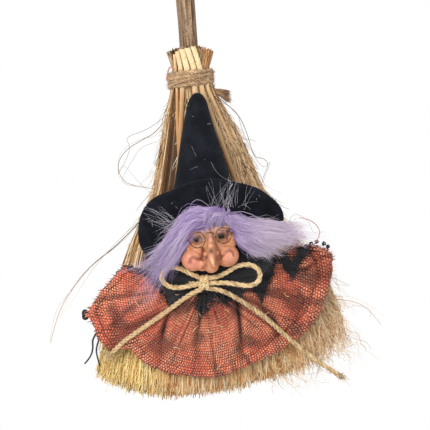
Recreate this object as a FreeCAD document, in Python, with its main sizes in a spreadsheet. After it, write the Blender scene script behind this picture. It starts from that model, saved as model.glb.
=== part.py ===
"""A hanging broom decoration: a stick, a fan of bound broom straw, and a witch's head, hat, hair and cape.

Millimetres. The origin is the centre of the stick's sawn top end, +Z runs up the stick, +X to the viewer's
right and -Y towards the viewer. Every driving size is a cell of the sheet named Sizes.
"""

import FreeCAD, Part
import math
import os
import re

import Sketcher
from FreeCAD import Placement, Rotation, Vector

doc = FreeCAD.newDocument("witch_broom")

# ---------------------------------------------------------------- sizes

SIZES = {
    "stick": {
        "stick_radius": 5.2,
        "stick_bare": 180.0,  # round length above the straw
        "taper_drop": 6.0,
        "spigot_radius": 4.6,  # whittled end inside the straw
        "spigot_end": 262.0,
    },
    "broom": {
        "binding_drop": 199.0,  # from the stick's top to the middle of the binding
        "neck_radius": 10.8,
        "neck_band": 12.0,
        "flare_rise": 11.0,
        "flare_radius": 13.2,
        "fan_radius": 181.0,  # binding to the trimmed ends
        "spread_left": 0.35,  # sideways growth per mm of drop
        "spread_right": 0.5,
        "spread_deep": 0.018,
        "reed_wide": 3.2,
        "reed_thick": 1.6,
        "reed_drop": 86.0,
        "reed_gap": 0.15,
    },
    "twine": {
        "twine_radius": 1.35,
        "turn_pitch": 2.4,
        "bow_radius": 1.4,
        "tail_tuft": 3.4,
        "tail_reach": 11.0,
        "tail_ahead": 2.0,
        "tail_lean": 122.0,
        "thread_radius": 0.5,
        "fibre_radius": 0.35,
    },
    "hat": {
        "hat_x": 3.1,
        "hat_tip": 207.8,
        "tip_wide": 4.6,
        "tip_deep": 3.6,
        "tip_round": 4.0,
        "hat_drop": 76.0,
        "base_wide": 21.5,
        "base_deep": 12.5,
        "hat_back": 12.6,  # how far the cone's back lies in front of the stick's axis
        "felt": 1.6,
        "felt_gap": 0.1,
        "brim_x": 6.0,
        "brim_y": -31.0,
        "brim_below": 0.2,  # from the cone's foot to the middle of the brim's lower face
        "brim_wide": 41.0,
        "brim_tall": 30.0,
        "brim_tilt": 31.0,
        "brim_felt": 2.0,
    },
    "head": {
        "head_x": 4.9,
        "head_y": -40.0,
        "head_below": 9.2,  # from the cone's foot to the middle of the head
        "head_radius": 16.0,
        "mask_wall": 2.2,
        "cheek_radius": 7.0,
        "cheek_apart": 19.0,
        "cheek_ahead": 7.0,
        "cheek_drop": 7.2,
        "chin_radius": 4.4,
        "chin_ahead": 8.5,
        "chin_drop": 13.0,
        "nose_root": 3.8,
        "nose_tip": 1.3,
        "nose_long": 19.5,
        "nose_angle": 143.0,
        "nose_ahead": 12.4,
        "nose_left": 0.4,
        "nose_rise": 4.0,
        "neck_wide": 8.5,
        "neck_right": 1.0,
        "neck_y": -25.0,
        "neck_long": 37.0,
        "fur_wide": 24.0,
        "fur_tall": 19.0,
        "fur_thick": 1.2,
        "face_roll": 6.0,
    },
    "spectacles": {
        "temple_ahead": 5.0,
        "temple_rise": 5.0,
        "wire_radius": 0.35,
        "wire_gap": 0.1,
        "ring_radius": 4.4,
        "ring_apart": 14.8,
        "ring_ahead": 12.8,
        "ring_drop": 2.2,
        "bridge_back": 0.6,
        "temple_out": 1.1,
        "pin_in": 1.8,
    },
    "hair": {
        "fringe_wide": 20.0,
        "fringe_deep": 10.0,
        "fringe_tall": 7.5,
        "fringe_rise": 15.5,
        "fringe_left": 0.9,
        "fringe_ahead": 5.0,
        "lock_deep": 5.0,
        "lock_wide": 8.5,
        "lock_y": -36.5,
        "left_lock_x": 28.0,
        "left_lock_drop": 6.0,
        "left_lock_long": 22.0,
        "left_lean": 35.0,
        "right_lock_x": 34.0,
        "right_lock_rise": 2.0,
        "right_lock_long": 25.0,
        "right_lean": 104.0,
    },
    "cape": {
        "neck_x": 0.0,
        "cape_below": 23.0,  # from the middle of the head to the gathered neck
        "cape_front": 40.0,
        "cape_reach": 74.1,  # from the neck to the furthest point of the edge
        "cape_flat": 8.0,
        "cape_slope": 0.49,
        "cape_cloth": 3.9,
        "cape_cone": 74.0,
        "knot_radius": 2.6,
        "knot_out": 68.5,
        "knot_ahead": 7.0,
        "knot_drop": 13.5,
    },
    "bow": {
        "bow_below": 21.8,
        "bow_y": -45.5,
        "bow_knot_radius": 4.2,
        "neck_loop": 14.0,
        "neck_loop_y": -29.0,
    },
    "glue": {
        "glue_bite": 2.0,
        "hat_glue_wide": 6.0,
        "hat_glue_tall": 14.0,
        "hat_glue_drop": 50.0,
        "brim_glue_wide": 16.0,
        "brim_glue_tall": 6.0,
        "brim_glue_front": -21.4,
        "brim_glue_drop": 24.0,
    },
}

# The head hangs from the hat, and the cape and the bow hang from the head.
HEIGHTS = {
    "head_z": "=-hat_tip - hat_drop - head_below",
    "neck_end": "=head_z - neck_long",
    "neck_z": "=head_z - cape_below",
    "bow_z": "=head_z - bow_below",
}

sheet = doc.addObject("Spreadsheet::Sheet", "Sizes")
row = 1
for group, cells in {**SIZES, "heights": HEIGHTS}.items():
    sheet.set(f"A{row}", group)
    for name, size in cells.items():
        row += 1
        sheet.set(f"A{row}", name)
        sheet.set(f"B{row}", str(size))
        sheet.setAlias(f"B{row}", name)
    row += 1
doc.recompute()


def linked(text):
    """The expression with each [name] turned into a link to the sheet's cell of that name."""
    return re.sub(r"\[(\w+)\]", r"Sizes.\1", text)


def number(text):
    """What the expression is worth now."""
    found = sheet.evalExpression(re.sub(r"\[(\w+)\]", r"\1", text))
    return float(getattr(found, "Value", found))


# ---------------------------------------------------------------- ways of making a solid


def place(obj, at=("0", "0", "0"), axis=None, angle="0"):
    """Put obj at a point given by three expressions, turned about an axis by an angle that is one too."""
    turn = Rotation(Vector(*axis), number(angle)) if axis else Rotation()
    obj.Placement = Placement(Vector(*[number(part) for part in at]), turn)
    for letter, part in zip("xyz", at):
        obj.setExpression(f"Placement.Base.{letter}", linked(part))
    if axis:
        obj.setExpression("Placement.Rotation.Angle", linked(angle))
    return obj


def primitive(kind, name, sizes, **where):
    """One of the Part primitives, with its sizes bound to the sheet."""
    obj = doc.addObject(kind, name)
    obj.Label = name
    place(obj, **where)
    for prop, text in sizes.items():
        obj.setExpression(prop, linked(text))
    return obj


def fused(name, pieces):
    obj = doc.addObject("Part::MultiFuse", name)
    obj.Label = name
    obj.Shapes = pieces
    return obj


def common(name, pieces):
    obj = doc.addObject("Part::MultiCommon", name)
    obj.Label = name
    obj.Shapes = pieces
    return obj


def cut(name, base, tools):
    """base with each of the tools taken away, one after the other."""
    for step, tool in enumerate(tools):
        last = step == len(tools) - 1
        obj = doc.addObject("Part::Cut", name if last else f"{name}_cut_{step}")
        obj.Label = obj.Name
        obj.Base = base
        obj.Tool = tool
        base = obj
    return base


def plane_of(body, role):
    return next(f for f in body.Origin.OriginFeatures if f.Role == role)


def polygon(sketch, corners):
    """A closed polygon whose corners are pairs of expressions, held by their distances from the origin."""
    points = [Vector(number(x), number(y), 0) for x, y in corners]
    count = len(points)
    for index, point in enumerate(points):
        sketch.addGeometry(Part.LineSegment(point, points[(index + 1) % count]))
    for index in range(count):
        sketch.addConstraint(Sketcher.Constraint("Coincident", index, 2, (index + 1) % count, 1))
    for index, corner in enumerate(corners):
        for kind, text, here in zip(("DistanceX", "DistanceY"), corner, points[index][:2]):
            held = sketch.addConstraint(Sketcher.Constraint(kind, -1, 1, index, 1, here))
            sketch.setExpression(f"Constraints[{held}]", linked(text))


def section(body, name, height, corners):
    sketch = body.newObject("Sketcher::SketchObject", name)
    sketch.AttachmentSupport = [(plane_of(body, "XY_Plane"), "")]
    sketch.MapMode = "FlatFace"
    sketch.setExpression("AttachmentOffset.Base.z", linked(height))
    polygon(sketch, corners)
    return sketch


def lofted(name, sections):
    """A body with straight sides through polygons, each given as its height and its corners."""
    body = doc.addObject("PartDesign::Body", name)
    body.Label = name
    sketches = [section(body, f"{name}_section_{k}", z, c) for k, (z, c) in enumerate(sections)]
    loft = body.newObject("PartDesign::AdditiveLoft", f"{name}_loft")
    loft.Profile = sketches[0]
    loft.Sections = sketches[1:]
    loft.Ruled = True
    return body


def from_code(name, shape, where=None):
    """A piece that no primitive or sketch fits, made by Part's own functions."""
    obj = doc.addObject("Part::Feature", name)
    obj.Label = name
    obj.Shape = shape
    obj.Placement = where or Placement()
    return obj


def tube(route, radius, announce=None, share=0.45):
    """A round cord along straight runs joined by tangent arcs that take a share of the shorter run."""
    points = [Vector(*point) for point in route]
    edges = []
    here = points[0]
    radii = []
    for before, corner, after in zip(points, points[1:], points[2:]):
        back = before - corner
        on = after - corner
        half_turn = (math.pi - back.getAngle(on)) / 2
        trim = share * min(back.Length, on.Length)
        radii.append(trim / math.tan(half_turn))
        start = corner + back.normalize() * trim
        end = corner + on.normalize() * trim
        inward = (back + on).normalize()
        middle = corner + inward * radii[-1] * (1 / math.cos(half_turn) - 1)
        edges.append(Part.LineSegment(here, start).toShape())
        edges.append(Part.Arc(start, middle, end).toShape())
        here = end
    edges.append(Part.LineSegment(here, points[-1]).toShape())
    spine = Part.Wire(edges)
    end_circle = Part.Wire([Part.Circle(points[0], points[1] - points[0], radius).toShape()])
    solid = spine.makePipeShell([end_circle], True, False)
    expected = math.pi * radius**2 * spine.Length
    if abs(solid.Volume - expected) > 0.02 * expected:
        raise ValueError(f"{announce}: volume {solid.Volume:.2f} and not {expected:.2f}")
    if announce:
        print(f"{announce}: {spine.Length:.1f} mm long, bends of", [round(r, 1) for r in radii])
    return solid


# ---------------------------------------------------------------- stick

stick_bare = primitive(
    "Part::Cylinder",
    "stick_bare_length",
    {"Radius": "[stick_radius]", "Height": "[stick_bare]"},
    at=("0", "0", "-[stick_bare]"),
)
stick_taper = primitive(
    "Part::Cone",
    "stick_taper",
    {"Radius1": "[spigot_radius]", "Radius2": "[stick_radius]", "Height": "[taper_drop]"},
    at=("0", "0", "-[stick_bare] - [taper_drop]"),
)
stick_spigot = primitive(
    "Part::Cylinder",
    "stick_spigot",
    {"Radius": "[spigot_radius]", "Height": "[spigot_end] - [stick_bare] - [taper_drop]"},
    at=("0", "0", "-[spigot_end]"),
)
handle = fused("handle", [stick_bare, stick_taper, stick_spigot])

# ---------------------------------------------------------------- straw

NECK_TOP = "(-[binding_drop] + [neck_band] / 2)"
NECK_FOOT = "(-[binding_drop] - [neck_band] / 2)"
FAN_LONG = "[fan_radius]"
FLARE_TOP = f"({NECK_TOP} + [flare_rise])"
BUNDLE_EDGES = (-90, -45, -15, 15, 45, 90)  # degrees round the bundle from its middle


class Level:
    """One height of the broom, with how far the straw reaches to each side, forwards and backwards."""

    def __init__(self, height, left, right, front, back):
        self.height = height
        self.middle = f"(({right}) - ({left})) / 2"
        self.half = f"(({right}) + ({left})) / 2"
        self.front = front
        self.back = back

    def across(self, share):
        return f"{self.middle} + {self.half} * {share:.6f}"


def level_at(drop):
    """The fan's level at that distance below the foot of its neck."""
    return Level(
        f"{NECK_FOOT} - ({drop})",
        f"[neck_radius] + [spread_left] * ({drop})",
        f"[neck_radius] + [spread_right] * ({drop})",
        f"[neck_radius] - [reed_thick] - [reed_gap] + [spread_deep] * ({drop})",
        f"[neck_radius] + [spread_deep] * ({drop})",
    )


def upper_level(height, radius):
    return Level(height, radius, radius, f"{radius} - [reed_thick] - [reed_gap]", radius)


FLARE = upper_level(FLARE_TOP, "[flare_radius]")
NECK_HIGH = upper_level(NECK_TOP, "[neck_radius]")
LEVELS = (FLARE, NECK_HIGH, level_at("0"), level_at(FAN_LONG))


def wedge(level, start, end, side):
    """The corners of one bundle between two angles; side is -1 in front and 1 behind."""
    depth = level.front if side < 0 else level.back
    corners = []
    for angle in (start, (start + end) / 2, end):
        share = math.sin(math.radians(angle))
        out = side * math.cos(math.radians(angle))
        corners.append((level.across(share), f"({depth}) * {out:.6f}"))
    if end < 90:
        corners.append((level.across(math.sin(math.radians(end))), "0"))
    if start > -90:
        corners.append((level.across(math.sin(math.radians(start))), "0"))
    return corners


trimming = primitive(
    "Part::Cylinder",
    "trimmed_round",
    {"Radius": "[fan_radius]", "Height": "6 * [neck_radius]"},
    at=("0", "3 * [neck_radius]", "-[binding_drop]"),
    axis=(1, 0, 0),
    angle="90",
)


def straw_bundle(name, start, end, side):
    whole = lofted(f"{name}_uncut", [(lv.height, wedge(lv, start, end, side)) for lv in LEVELS])
    trimmed = common(f"{name}_trimmed", [whole, trimming])
    if max(abs(start), abs(end)) == 90:
        trimmed.Label = name
        return trimmed
    return cut(name, trimmed, [handle])


straw = {}
for side, place_word in ((-1, "front"), (1, "back")):
    for count, (start, end) in enumerate(zip(BUNDLE_EDGES, BUNDLE_EDGES[1:]), 1):
        label = f"straw_{place_word}_{count}"
        straw[label] = straw_bundle(label, start, end, side)


def reed_corners(level, angle):
    """A flat reed's corners, with its inner face on the front of the straw."""
    middle = math.sin(math.radians(angle))
    reach = f"[reed_wide] * {math.cos(math.radians(angle)):.6f} / 2 / ({level.half})"
    inner = f"({level.front} + [reed_gap])"
    outer = f"({level.front} + [reed_gap] + [reed_thick])"
    edges = {f"({middle:.6f} - {reach})": (inner, outer), f"({middle:.6f} + {reach})": (outer, inner)}
    corners = []
    for share, depths in edges.items():
        across = f"{level.middle} + {level.half} * {share}"
        corners += [(across, f"-{depth} * sqrt(1 - {share} * {share})") for depth in depths]
    return corners


REED_LEVELS = (FLARE, NECK_HIGH, level_at("0"), level_at("[reed_drop]"))


def reed_group(name, angles):
    reeds = [
        lofted(f"{name}_{k}", [(lv.height, reed_corners(lv, angle)) for lv in REED_LEVELS])
        for k, angle in enumerate(angles, 1)
    ]
    group = doc.addObject("Part::Compound", name)
    group.Label = name
    group.Links = reeds
    return group


reeds_left = reed_group("reed_stems_left", (-56, -34, -12))
reeds_right = reed_group("reed_stems_right", (10, 32, 54))

# ---------------------------------------------------------------- binding

TURNS = 4
turns = []
for turn in range(TURNS):
    shift = turn - (TURNS - 1) / 2
    turns.append(
        primitive(
            "Part::Torus",
            f"binding_turn_{turn + 1}",
            {"Radius1": "[neck_radius] + [twine_radius]", "Radius2": "[twine_radius]"},
            at=("0", "0", f"-[binding_drop] + [turn_pitch] * {shift}"),
        )
    )
binding = fused("binding_twine", turns)

tail_cone = primitive(
    "Part::Cone",
    "binding_tail_uncut",
    {"Radius1": "[twine_radius]", "Radius2": "[tail_tuft]", "Height": "[tail_reach]"},
    at=("[neck_radius] + [twine_radius]", "-[tail_ahead]", "-[binding_drop] - [neck_band] / 2"),
    axis=(0, 1, 0),
    angle="[tail_lean]",
)
binding_tail = cut("binding_tail", tail_cone, [binding])

# ---------------------------------------------------------------- hat

HAT_BASE = "(-[hat_tip] - [hat_drop])"
BRIM_Z = f"({HAT_BASE} - [brim_below])"


def hat_ellipse(name, wide, deep, height, inset):
    return primitive(
        "Part::Ellipse",
        name,
        {"MajorRadius": f"{wide} - {inset}", "MinorRadius": f"{deep} - {inset}"},
        at=("[hat_x]", f"-[hat_back] - {deep}", height),
    )


def hat_loft(name, inset):
    """The tapering body of the cone with its rounded tip, smaller all round by the inset."""
    tip = "(-[hat_tip] - [tip_round])"
    top = hat_ellipse(f"{name}_top", "[tip_wide]", "[tip_deep]", tip, inset)
    foot = hat_ellipse(f"{name}_foot", "[base_wide]", "[base_deep]", HAT_BASE, inset)
    loft = doc.addObject("Part::Loft", f"{name}_sides")
    loft.Sections = [top, foot]
    loft.Solid = True
    loft.Ruled = True
    dome = primitive(
        "Part::Ellipsoid",
        f"{name}_dome",
        {
            "Radius1": f"[tip_round] - {inset}",
            "Radius2": f"[tip_wide] - {inset}",
            "Radius3": f"[tip_deep] - {inset}",
        },
        at=("[hat_x]", "-[hat_back] - [tip_deep]", tip),
    )
    return fused(name, [loft, dome])


def tilted_oval(name, wide, tall, ahead, behind):
    """An oval slab square to the brim, from behind the brim's lower face to ahead of it."""
    outline = primitive(
        "Part::Ellipse",
        f"{name}_outline",
        {"MajorRadius": wide, "MinorRadius": tall},
        at=("[brim_x]", "[brim_y]", BRIM_Z),
        axis=(1, 0, 0),
        angle="90 + [brim_tilt]",
    )
    slab = doc.addObject("Part::Extrusion", name)
    slab.Label = name
    slab.Base = outline
    slab.DirMode = "Custom"
    slab.Dir = Vector(0, -number("cos([brim_tilt])"), -number("sin([brim_tilt])"))
    slab.setExpression("Dir.y", linked("-cos([brim_tilt])"))
    slab.setExpression("Dir.z", linked("-sin([brim_tilt])"))
    slab.Solid = True
    slab.setExpression("LengthFwd", linked(ahead))
    slab.setExpression("LengthRev", linked(behind))
    return slab


FAR = "[brim_wide] * 3"
hat_outer = hat_loft("hat_outside", "0")
hat_inner = hat_loft("hat_inside", "[felt]")
wad_room = hat_loft("hat_wad_outside", "([felt] + [felt_gap])")
brim_front_space = tilted_oval("space_before_brim", FAR, FAR, FAR, "[brim_felt]")
fur_front_space = tilted_oval("space_behind_fur", FAR, FAR, "[fur_thick]", FAR)
brim_blank = tilted_oval("brim_blank", "[brim_wide]", "[brim_tall]", "0", "[brim_felt]")
hat_cone = cut("hat_cone", hat_outer, [hat_inner, brim_front_space])
hat_stuffing = cut("hat_stuffing", wad_room, [brim_front_space])
hat_brim = cut("hat_brim", brim_blank, [hat_inner])

# ---------------------------------------------------------------- head

skull = primitive(
    "Part::Sphere", "skull", {"Radius": "[head_radius]"}, at=("[head_x]", "[head_y]", "[head_z]")
)


def cheek(name, side):
    return primitive(
        "Part::Sphere",
        name,
        {"Radius": "[cheek_radius]"},
        at=(
            f"[head_x] + {side} * [cheek_apart] / 2",
            "[head_y] - [cheek_ahead]",
            f"[head_z] - [cheek_drop] + {side} * [cheek_apart] / 2 * tan([face_roll]) / 2",
        ),
    )


chin = primitive(
    "Part::Sphere",
    "chin",
    {"Radius": "[chin_radius]"},
    at=("[head_x]", "[head_y] - [chin_ahead]", "[head_z] - [chin_drop]"),
)
nose = primitive(
    "Part::Cone",
    "nose",
    {"Radius1": "[nose_root]", "Radius2": "[nose_tip]", "Height": "[nose_long]"},
    at=("[head_x] - [nose_left]", "[head_y] - [nose_ahead]", "[head_z] + [nose_rise]"),
    axis=(1, 0, 0),
    angle="[nose_angle]",
)
cheeks = [cheek("cheek_left", -1), cheek("cheek_right", 1)]
face_outside = fused("face_outside", [skull, *cheeks, chin, nose])
mask_inside = primitive(
    "Part::Sphere",
    "mask_inside",
    {"Radius": "[head_radius] - [mask_wall]"},
    at=("[head_x]", "[head_y]", "[head_z]"),
)
HINGE_AT = ("[head_x]", "[head_y] - [temple_ahead]", "[head_z] + [temple_rise]")
BORE_LONG = "3 * [head_radius]"
temple_bore = primitive(
    "Part::Cylinder",
    "temple_bore",
    {"Radius": "[wire_radius] + [wire_gap]", "Height": BORE_LONG},
    at=(
        f"{HINGE_AT[0]} - {BORE_LONG} / 2 * cos([face_roll])",
        HINGE_AT[1],
        f"{HINGE_AT[2]} - {BORE_LONG} / 2 * sin([face_roll])",
    ),
    axis=(0, 1, 0),
    angle="90 - [face_roll]",
)
wad_neck = primitive(
    "Part::Cylinder",
    "wad_neck",
    {"Radius": "[neck_wide]", "Height": "[head_z] - [neck_end]"},
    at=("[neck_x] + [neck_right]", "[neck_y]", "[neck_end]"),
)
face = cut("face", face_outside, [mask_inside, fur_front_space, temple_bore, wad_neck])

wad_ball = primitive(
    "Part::Sphere",
    "wad_ball",
    {"Radius": "[head_radius] - [mask_wall] - [felt_gap]"},
    at=("[head_x]", "[head_y]", "[head_z]"),
)
head_wad_whole = fused("head_wad_whole", [wad_ball, wad_neck])

fur_blank = tilted_oval("fur_backing_blank", "[fur_wide]", "[fur_tall]", "[fur_thick]", "0")
fur_backing = cut("fur_backing", fur_blank, [hat_inner])

# ---------------------------------------------------------------- spectacles

hinge_point = Vector(*[number(part) for part in HINGE_AT])
hinge_place = Placement(hinge_point, Rotation(Vector(0, 1, 0), -number("[face_roll]")))
wire = number("[wire_radius]")
ring = number("[ring_radius]")
half_apart = number("[ring_apart] / 2")
ring_y = -number("[ring_ahead]")
ring_z = -number("[ring_drop]")
mask_x = number("sqrt([head_radius]^2 - [temple_ahead]^2 - [temple_rise]^2)")
temple_x = mask_x + number("[temple_out]")
pin_x = mask_x - number("[pin_in]")


ARM_BEND = 0.2  # the share of the temple pin taken by the bend
bridge_y = ring_y + number("[bridge_back]")


def spectacle_side(side):
    """A ring and its arm, which ends in a pin bent inwards at the temple."""
    centre = Vector(side * half_apart, ring_y, ring_z)
    rim = Part.makeTorus(ring, wire, centre, Vector(0, 1, 0))
    edge = (side * (half_apart + ring - wire / 2), ring_y - wire, ring_z)
    arm = tube([(side * pin_x, 0, 0), (side * temple_x, 0, 0), edge], wire, share=ARM_BEND)
    return rim.fuse(arm)


inner_x = half_apart - ring
bridge = tube(
    [
        (-inner_x - wire, ring_y, ring_z),
        (-inner_x / 2, bridge_y, ring_z + inner_x),
        (inner_x / 2, bridge_y, ring_z + inner_x),
        (inner_x + wire, ring_y, ring_z),
    ],
    wire,
)
spectacles = from_code(
    "spectacles", spectacle_side(-1).fuse(spectacle_side(1)).fuse(bridge), hinge_place
)

# ---------------------------------------------------------------- hair

fringe_whole = primitive(
    "Part::Ellipsoid",
    "fringe_whole",
    {"Radius1": "[fringe_tall]", "Radius2": "[fringe_wide]", "Radius3": "[fringe_deep]"},
    at=("[head_x] - [fringe_left]", "[head_y] - [fringe_ahead]", "[head_z] + [fringe_rise]"),
)
hair_fringe = cut("hair_fringe", fringe_whole, [face_outside, fur_front_space])


def hair_lock(name, x, z, long, lean):
    """A flat lock of long pile whose middle is at x and z, leaning from upright by an angle."""
    whole = primitive(
        "Part::Ellipsoid",
        f"{name}_whole",
        {"Radius1": long, "Radius2": "[lock_wide]", "Radius3": "[lock_deep]"},
        at=(x, "[lock_y]", z),
        axis=(0, 1, 0),
        angle=lean,
    )
    return cut(name, whole, [face_outside, fur_front_space, hair_fringe])


hair_left = hair_lock(
    "hair_left",
    "[head_x] - [left_lock_x]",
    "[head_z] - [left_lock_drop]",
    "[left_lock_long]",
    "180 + [left_lean]",
)
hair_right = hair_lock(
    "hair_right",
    "[head_x] + [right_lock_x]",
    "[head_z] + [right_lock_rise]",
    "[right_lock_long]",
    "[right_lean]",
)

# ---------------------------------------------------------------- cape

CAPE_EDGE = (  # degrees round the neck from +X, and the share of the longest reach
    (163, 0.629),
    (176, 0.735),
    (191, 0.931),
    (204, 0.927),
    (212, 0.891),
    (216, 0.756),
    (232, 0.761),
    (254, 0.721),
    (274, 0.729),
    (297, 0.715),
    (319, 0.794),
    (333, 0.879),
    (349, 0.937),
    (362, 0.988),
    (369, 1.000),
    (375, 0.900),
    (378, 0.772),
)


def neck_offset(angle, share):
    turn = math.radians(angle)
    across = f"[neck_x] + [cape_reach] * {share * math.cos(turn):.5f}"
    up = f"[neck_z] + [cape_reach] * {share * math.sin(turn):.5f}"
    return across, up


def upright_pad(name, corners, deep):
    """A prism along Y, as deep each way from the XZ plane, over a polygon."""
    body = doc.addObject("PartDesign::Body", name)
    body.Label = name
    sketch = body.newObject("Sketcher::SketchObject", f"{name}_outline")
    sketch.AttachmentSupport = [(plane_of(body, "XZ_Plane"), "")]
    sketch.MapMode = "FlatFace"
    polygon(sketch, corners)
    pad = body.newObject("PartDesign::Pad", f"{name}_pad")
    pad.Profile = sketch
    pad.Midplane = True
    pad.setExpression("Length", linked(deep))
    return body


def cape_cone(name, behind):
    """The cone that the cape hangs on, spreading backwards from the neck."""
    return primitive(
        "Part::Cone",
        name,
        {
            "Radius1": "[cape_flat]",
            "Radius2": "[cape_flat] + [cape_cone]",
            "Height": "[cape_cone] * [cape_slope]",
        },
        at=("[neck_x]", f"-[cape_front] + {behind}", "[neck_z]"),
        axis=(1, 0, 0),
        angle="-90",
    )


bow_knot = primitive(
    "Part::Sphere", "bow_knot", {"Radius": "[bow_knot_radius]"}, at=("[neck_x]", "[bow_y]", "[bow_z]")
)
neck_ring = primitive(
    "Part::Torus",
    "neck_ring",
    {"Radius1": "[neck_loop]", "Radius2": "[bow_radius]"},
    at=("[neck_x]", "[neck_loop_y]", "[bow_z]"),
)
neck_twine = cut("neck_twine", neck_ring, [bow_knot])
head_wad = cut("head_wad", head_wad_whole, [fur_front_space, neck_twine])
cape_outline = upright_pad("cape_outline", [neck_offset(*edge) for edge in CAPE_EDGE], "6 * [cape_front]")
cape_front_cone = cape_cone("cape_front_cone", "0")
cape_back_cone = cape_cone("cape_back_cone", "[cape_cloth]")
cape_shell = cut("cape_shell", cape_front_cone, [cape_back_cone])
cape_cut_out = common("cape_cut_out", [cape_shell, cape_outline])
cape = cut("cape", cape_cut_out, [face_outside, head_wad, neck_twine, bow_knot, brim_blank])

cape_knot_ball = primitive(
    "Part::Sphere",
    "cape_knot_ball",
    {"Radius": "[knot_radius]"},
    at=("[neck_x] - [knot_out]", "-[knot_ahead]", "[neck_z] - [knot_drop]"),
)
cape_knot = cut("cape_knot", cape_knot_ball, [cape])

THREADS = (
    [
        (-62.0, -9.5, -338.5),
        (-66.0, -9.0, -343.0),
        (-65.8, -9.0, -348.5),
        (-67.6, -9.0, -353.8),
        (-71.3, -9.0, -357.2),
    ],
    [
        (-60.5, -10.5, -341.0),
        (-63.2, -11.5, -346.0),
        (-64.4, -11.5, -352.0),
        (-62.4, -11.0, -359.2),
    ],
)
thread_shapes = [tube(route, number("[thread_radius]")) for route in THREADS]
threads_whole = from_code("cape_threads_whole", Part.makeCompound(thread_shapes))
cape_threads = cut("cape_threads", threads_whole, [cape])

# ---------------------------------------------------------------- bow

# Routes as x, y and z from the middle of the bow's knot.
BOW_ROUTES = {
    "bow_loop_left": [
        (-1.5, -0.5, 2.0),
        (-7.6, -0.9, 5.2),
        (-14.4, -1.3, 9.4),
        (-21.2, -1.5, 9.4),
        (-24.4, -1.4, 4.9),
        (-22.2, -1.2, -0.2),
        (-16.2, -1.0, -2.6),
        (-9.4, -0.8, -1.9),
        (-1.5, -0.5, -0.9),
    ],
    "bow_loop_right": [
        (1.5, -0.5, 2.0),
        (7.4, -1.0, 2.2),
        (13.8, -1.6, 5.4),
        (20.4, -1.8, 9.0),
        (28.0, -1.8, 8.8),
        (33.6, -1.4, 4.6),
        (32.6, -1.0, -2.2),
        (26.4, -0.8, -4.6),
        (19.0, -0.7, -2.9),
        (11.6, -0.6, -1.0),
        (1.5, -0.5, -0.9),
    ],
    "bow_tail_left": [
        (-1.5, -0.5, -3.8),
        (-8.5, 0.3, -6.2),
        (-18.5, 7.5, -12.9),
        (-29.5, 15.0, -19.8),
        (-40.5, 21.8, -26.3),
        (-49.5, 27.5, -31.8),
        (-55.5, 31.5, -37.6),
    ],
    "bow_tail_right": [
        (1.5, -0.5, -3.8),
        (8.0, 0.0, -4.6),
        (15.9, 5.0, -9.3),
        (25.5, 11.6, -16.2),
        (34.5, 18.0, -24.0),
        (42.5, 24.0, -32.6),
        (52.5, 28.0, -42.4),
        (62.5, 30.3, -51.0),
        (73.0, 31.3, -58.8),
    ],
}
bow_place = Placement(Vector(number("[neck_x]"), number("[bow_y]"), number("[bow_z]")), Rotation())
bow_cords = []
for label, route in BOW_ROUTES.items():
    cord = from_code(f"{label}_whole", tube(route, number("[bow_radius]"), label), bow_place)
    bow_cords.append(cut(label, cord, [bow_knot]))

# ---------------------------------------------------------------- loose fibres and glue

FIBRES = (
    [
        (-15.5, -2, -221.0),
        (-21.5, -3, -228.5),
        (-31.0, -4, -232.5),
        (-41.0, -4, -238.0),
        (-45.6, -4, -246.5),
        (-42.5, -4, -255.0),
        (-34.5, -3, -258.8),
        (-24.0, -2, -260.6),
    ],
    [
        (-33.0, -2, -277.0),
        (-47.0, -3, -290.5),
        (-63.0, -3, -300.5),
        (-76.0, -3, -314.0),
        (-85.5, -3, -329.0),
        (-90.0, -3, -344.0),
    ],
    [
        (70.0, -2, -330.0),
        (82.0, -3, -331.0),
        (93.0, -3, -337.0),
        (99.0, -3, -347.0),
    ],
)
fibre_shapes = [tube(route, number("[fibre_radius]")) for route in FIBRES]
fibres_whole = from_code("stray_fibres_whole", Part.makeCompound(fibre_shapes))
stray_fibres = cut("stray_fibres", fibres_whole, [straw["straw_front_1"], straw["straw_front_5"]])


def glue_pad(name, middle, wide, front, foot, tall, tools):
    """A pad of set glue between the straw and a piece in front of it, less the tools."""
    blank = primitive(
        "Part::Box",
        f"{name}_blank",
        {"Length": wide, "Width": f"-[neck_radius] + [glue_bite] - ({front})", "Height": tall},
        at=(f"{middle} - {wide} / 2", front, foot),
    )
    return cut(name, blank, tools)


middle_straw = [straw[f"straw_front_{k}"] for k in (2, 3, 4)]
hat_glue = glue_pad(
    "hat_glue",
    "[hat_x]",
    "[hat_glue_wide]",
    "-[hat_back] - [glue_bite]",
    "-[binding_drop] - [hat_glue_drop]",
    "[hat_glue_tall]",
    [*middle_straw, reeds_left, reeds_right, hat_outer],
)
brim_glue = glue_pad(
    "brim_glue",
    "[brim_x]",
    "[brim_glue_wide]",
    "[brim_glue_front]",
    f"{BRIM_Z} - [brim_glue_drop]",
    "[brim_glue_tall]",
    [*middle_straw, reeds_left, reeds_right, brim_blank, head_wad],
)

# ---------------------------------------------------------------- export

doc.recompute()
NODES = [
    "handle",
    *straw,
    "reed_stems_left",
    "reed_stems_right",
    "binding_twine",
    "binding_tail",
    "hat_cone",
    "hat_stuffing",
    "hat_brim",
    "hat_glue",
    "brim_glue",
    "face",
    "head_wad",
    "fur_backing",
    "spectacles",
    "hair_fringe",
    "hair_left",
    "hair_right",
    "cape",
    "cape_knot",
    "cape_threads",
    "neck_twine",
    "bow_knot",
    *BOW_ROUTES,
    "stray_fibres",
]


def by_label(label):
    found = doc.getObjectsByLabel(label)
    if len(found) != 1:
        raise ValueError(f"{len(found)} objects are labelled {label}")
    return found[0]


def check(obj):
    if {"Invalid", "Error"} & set(obj.State):
        raise ValueError(f"{obj.Label} did not compute: {obj.State}")


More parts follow.
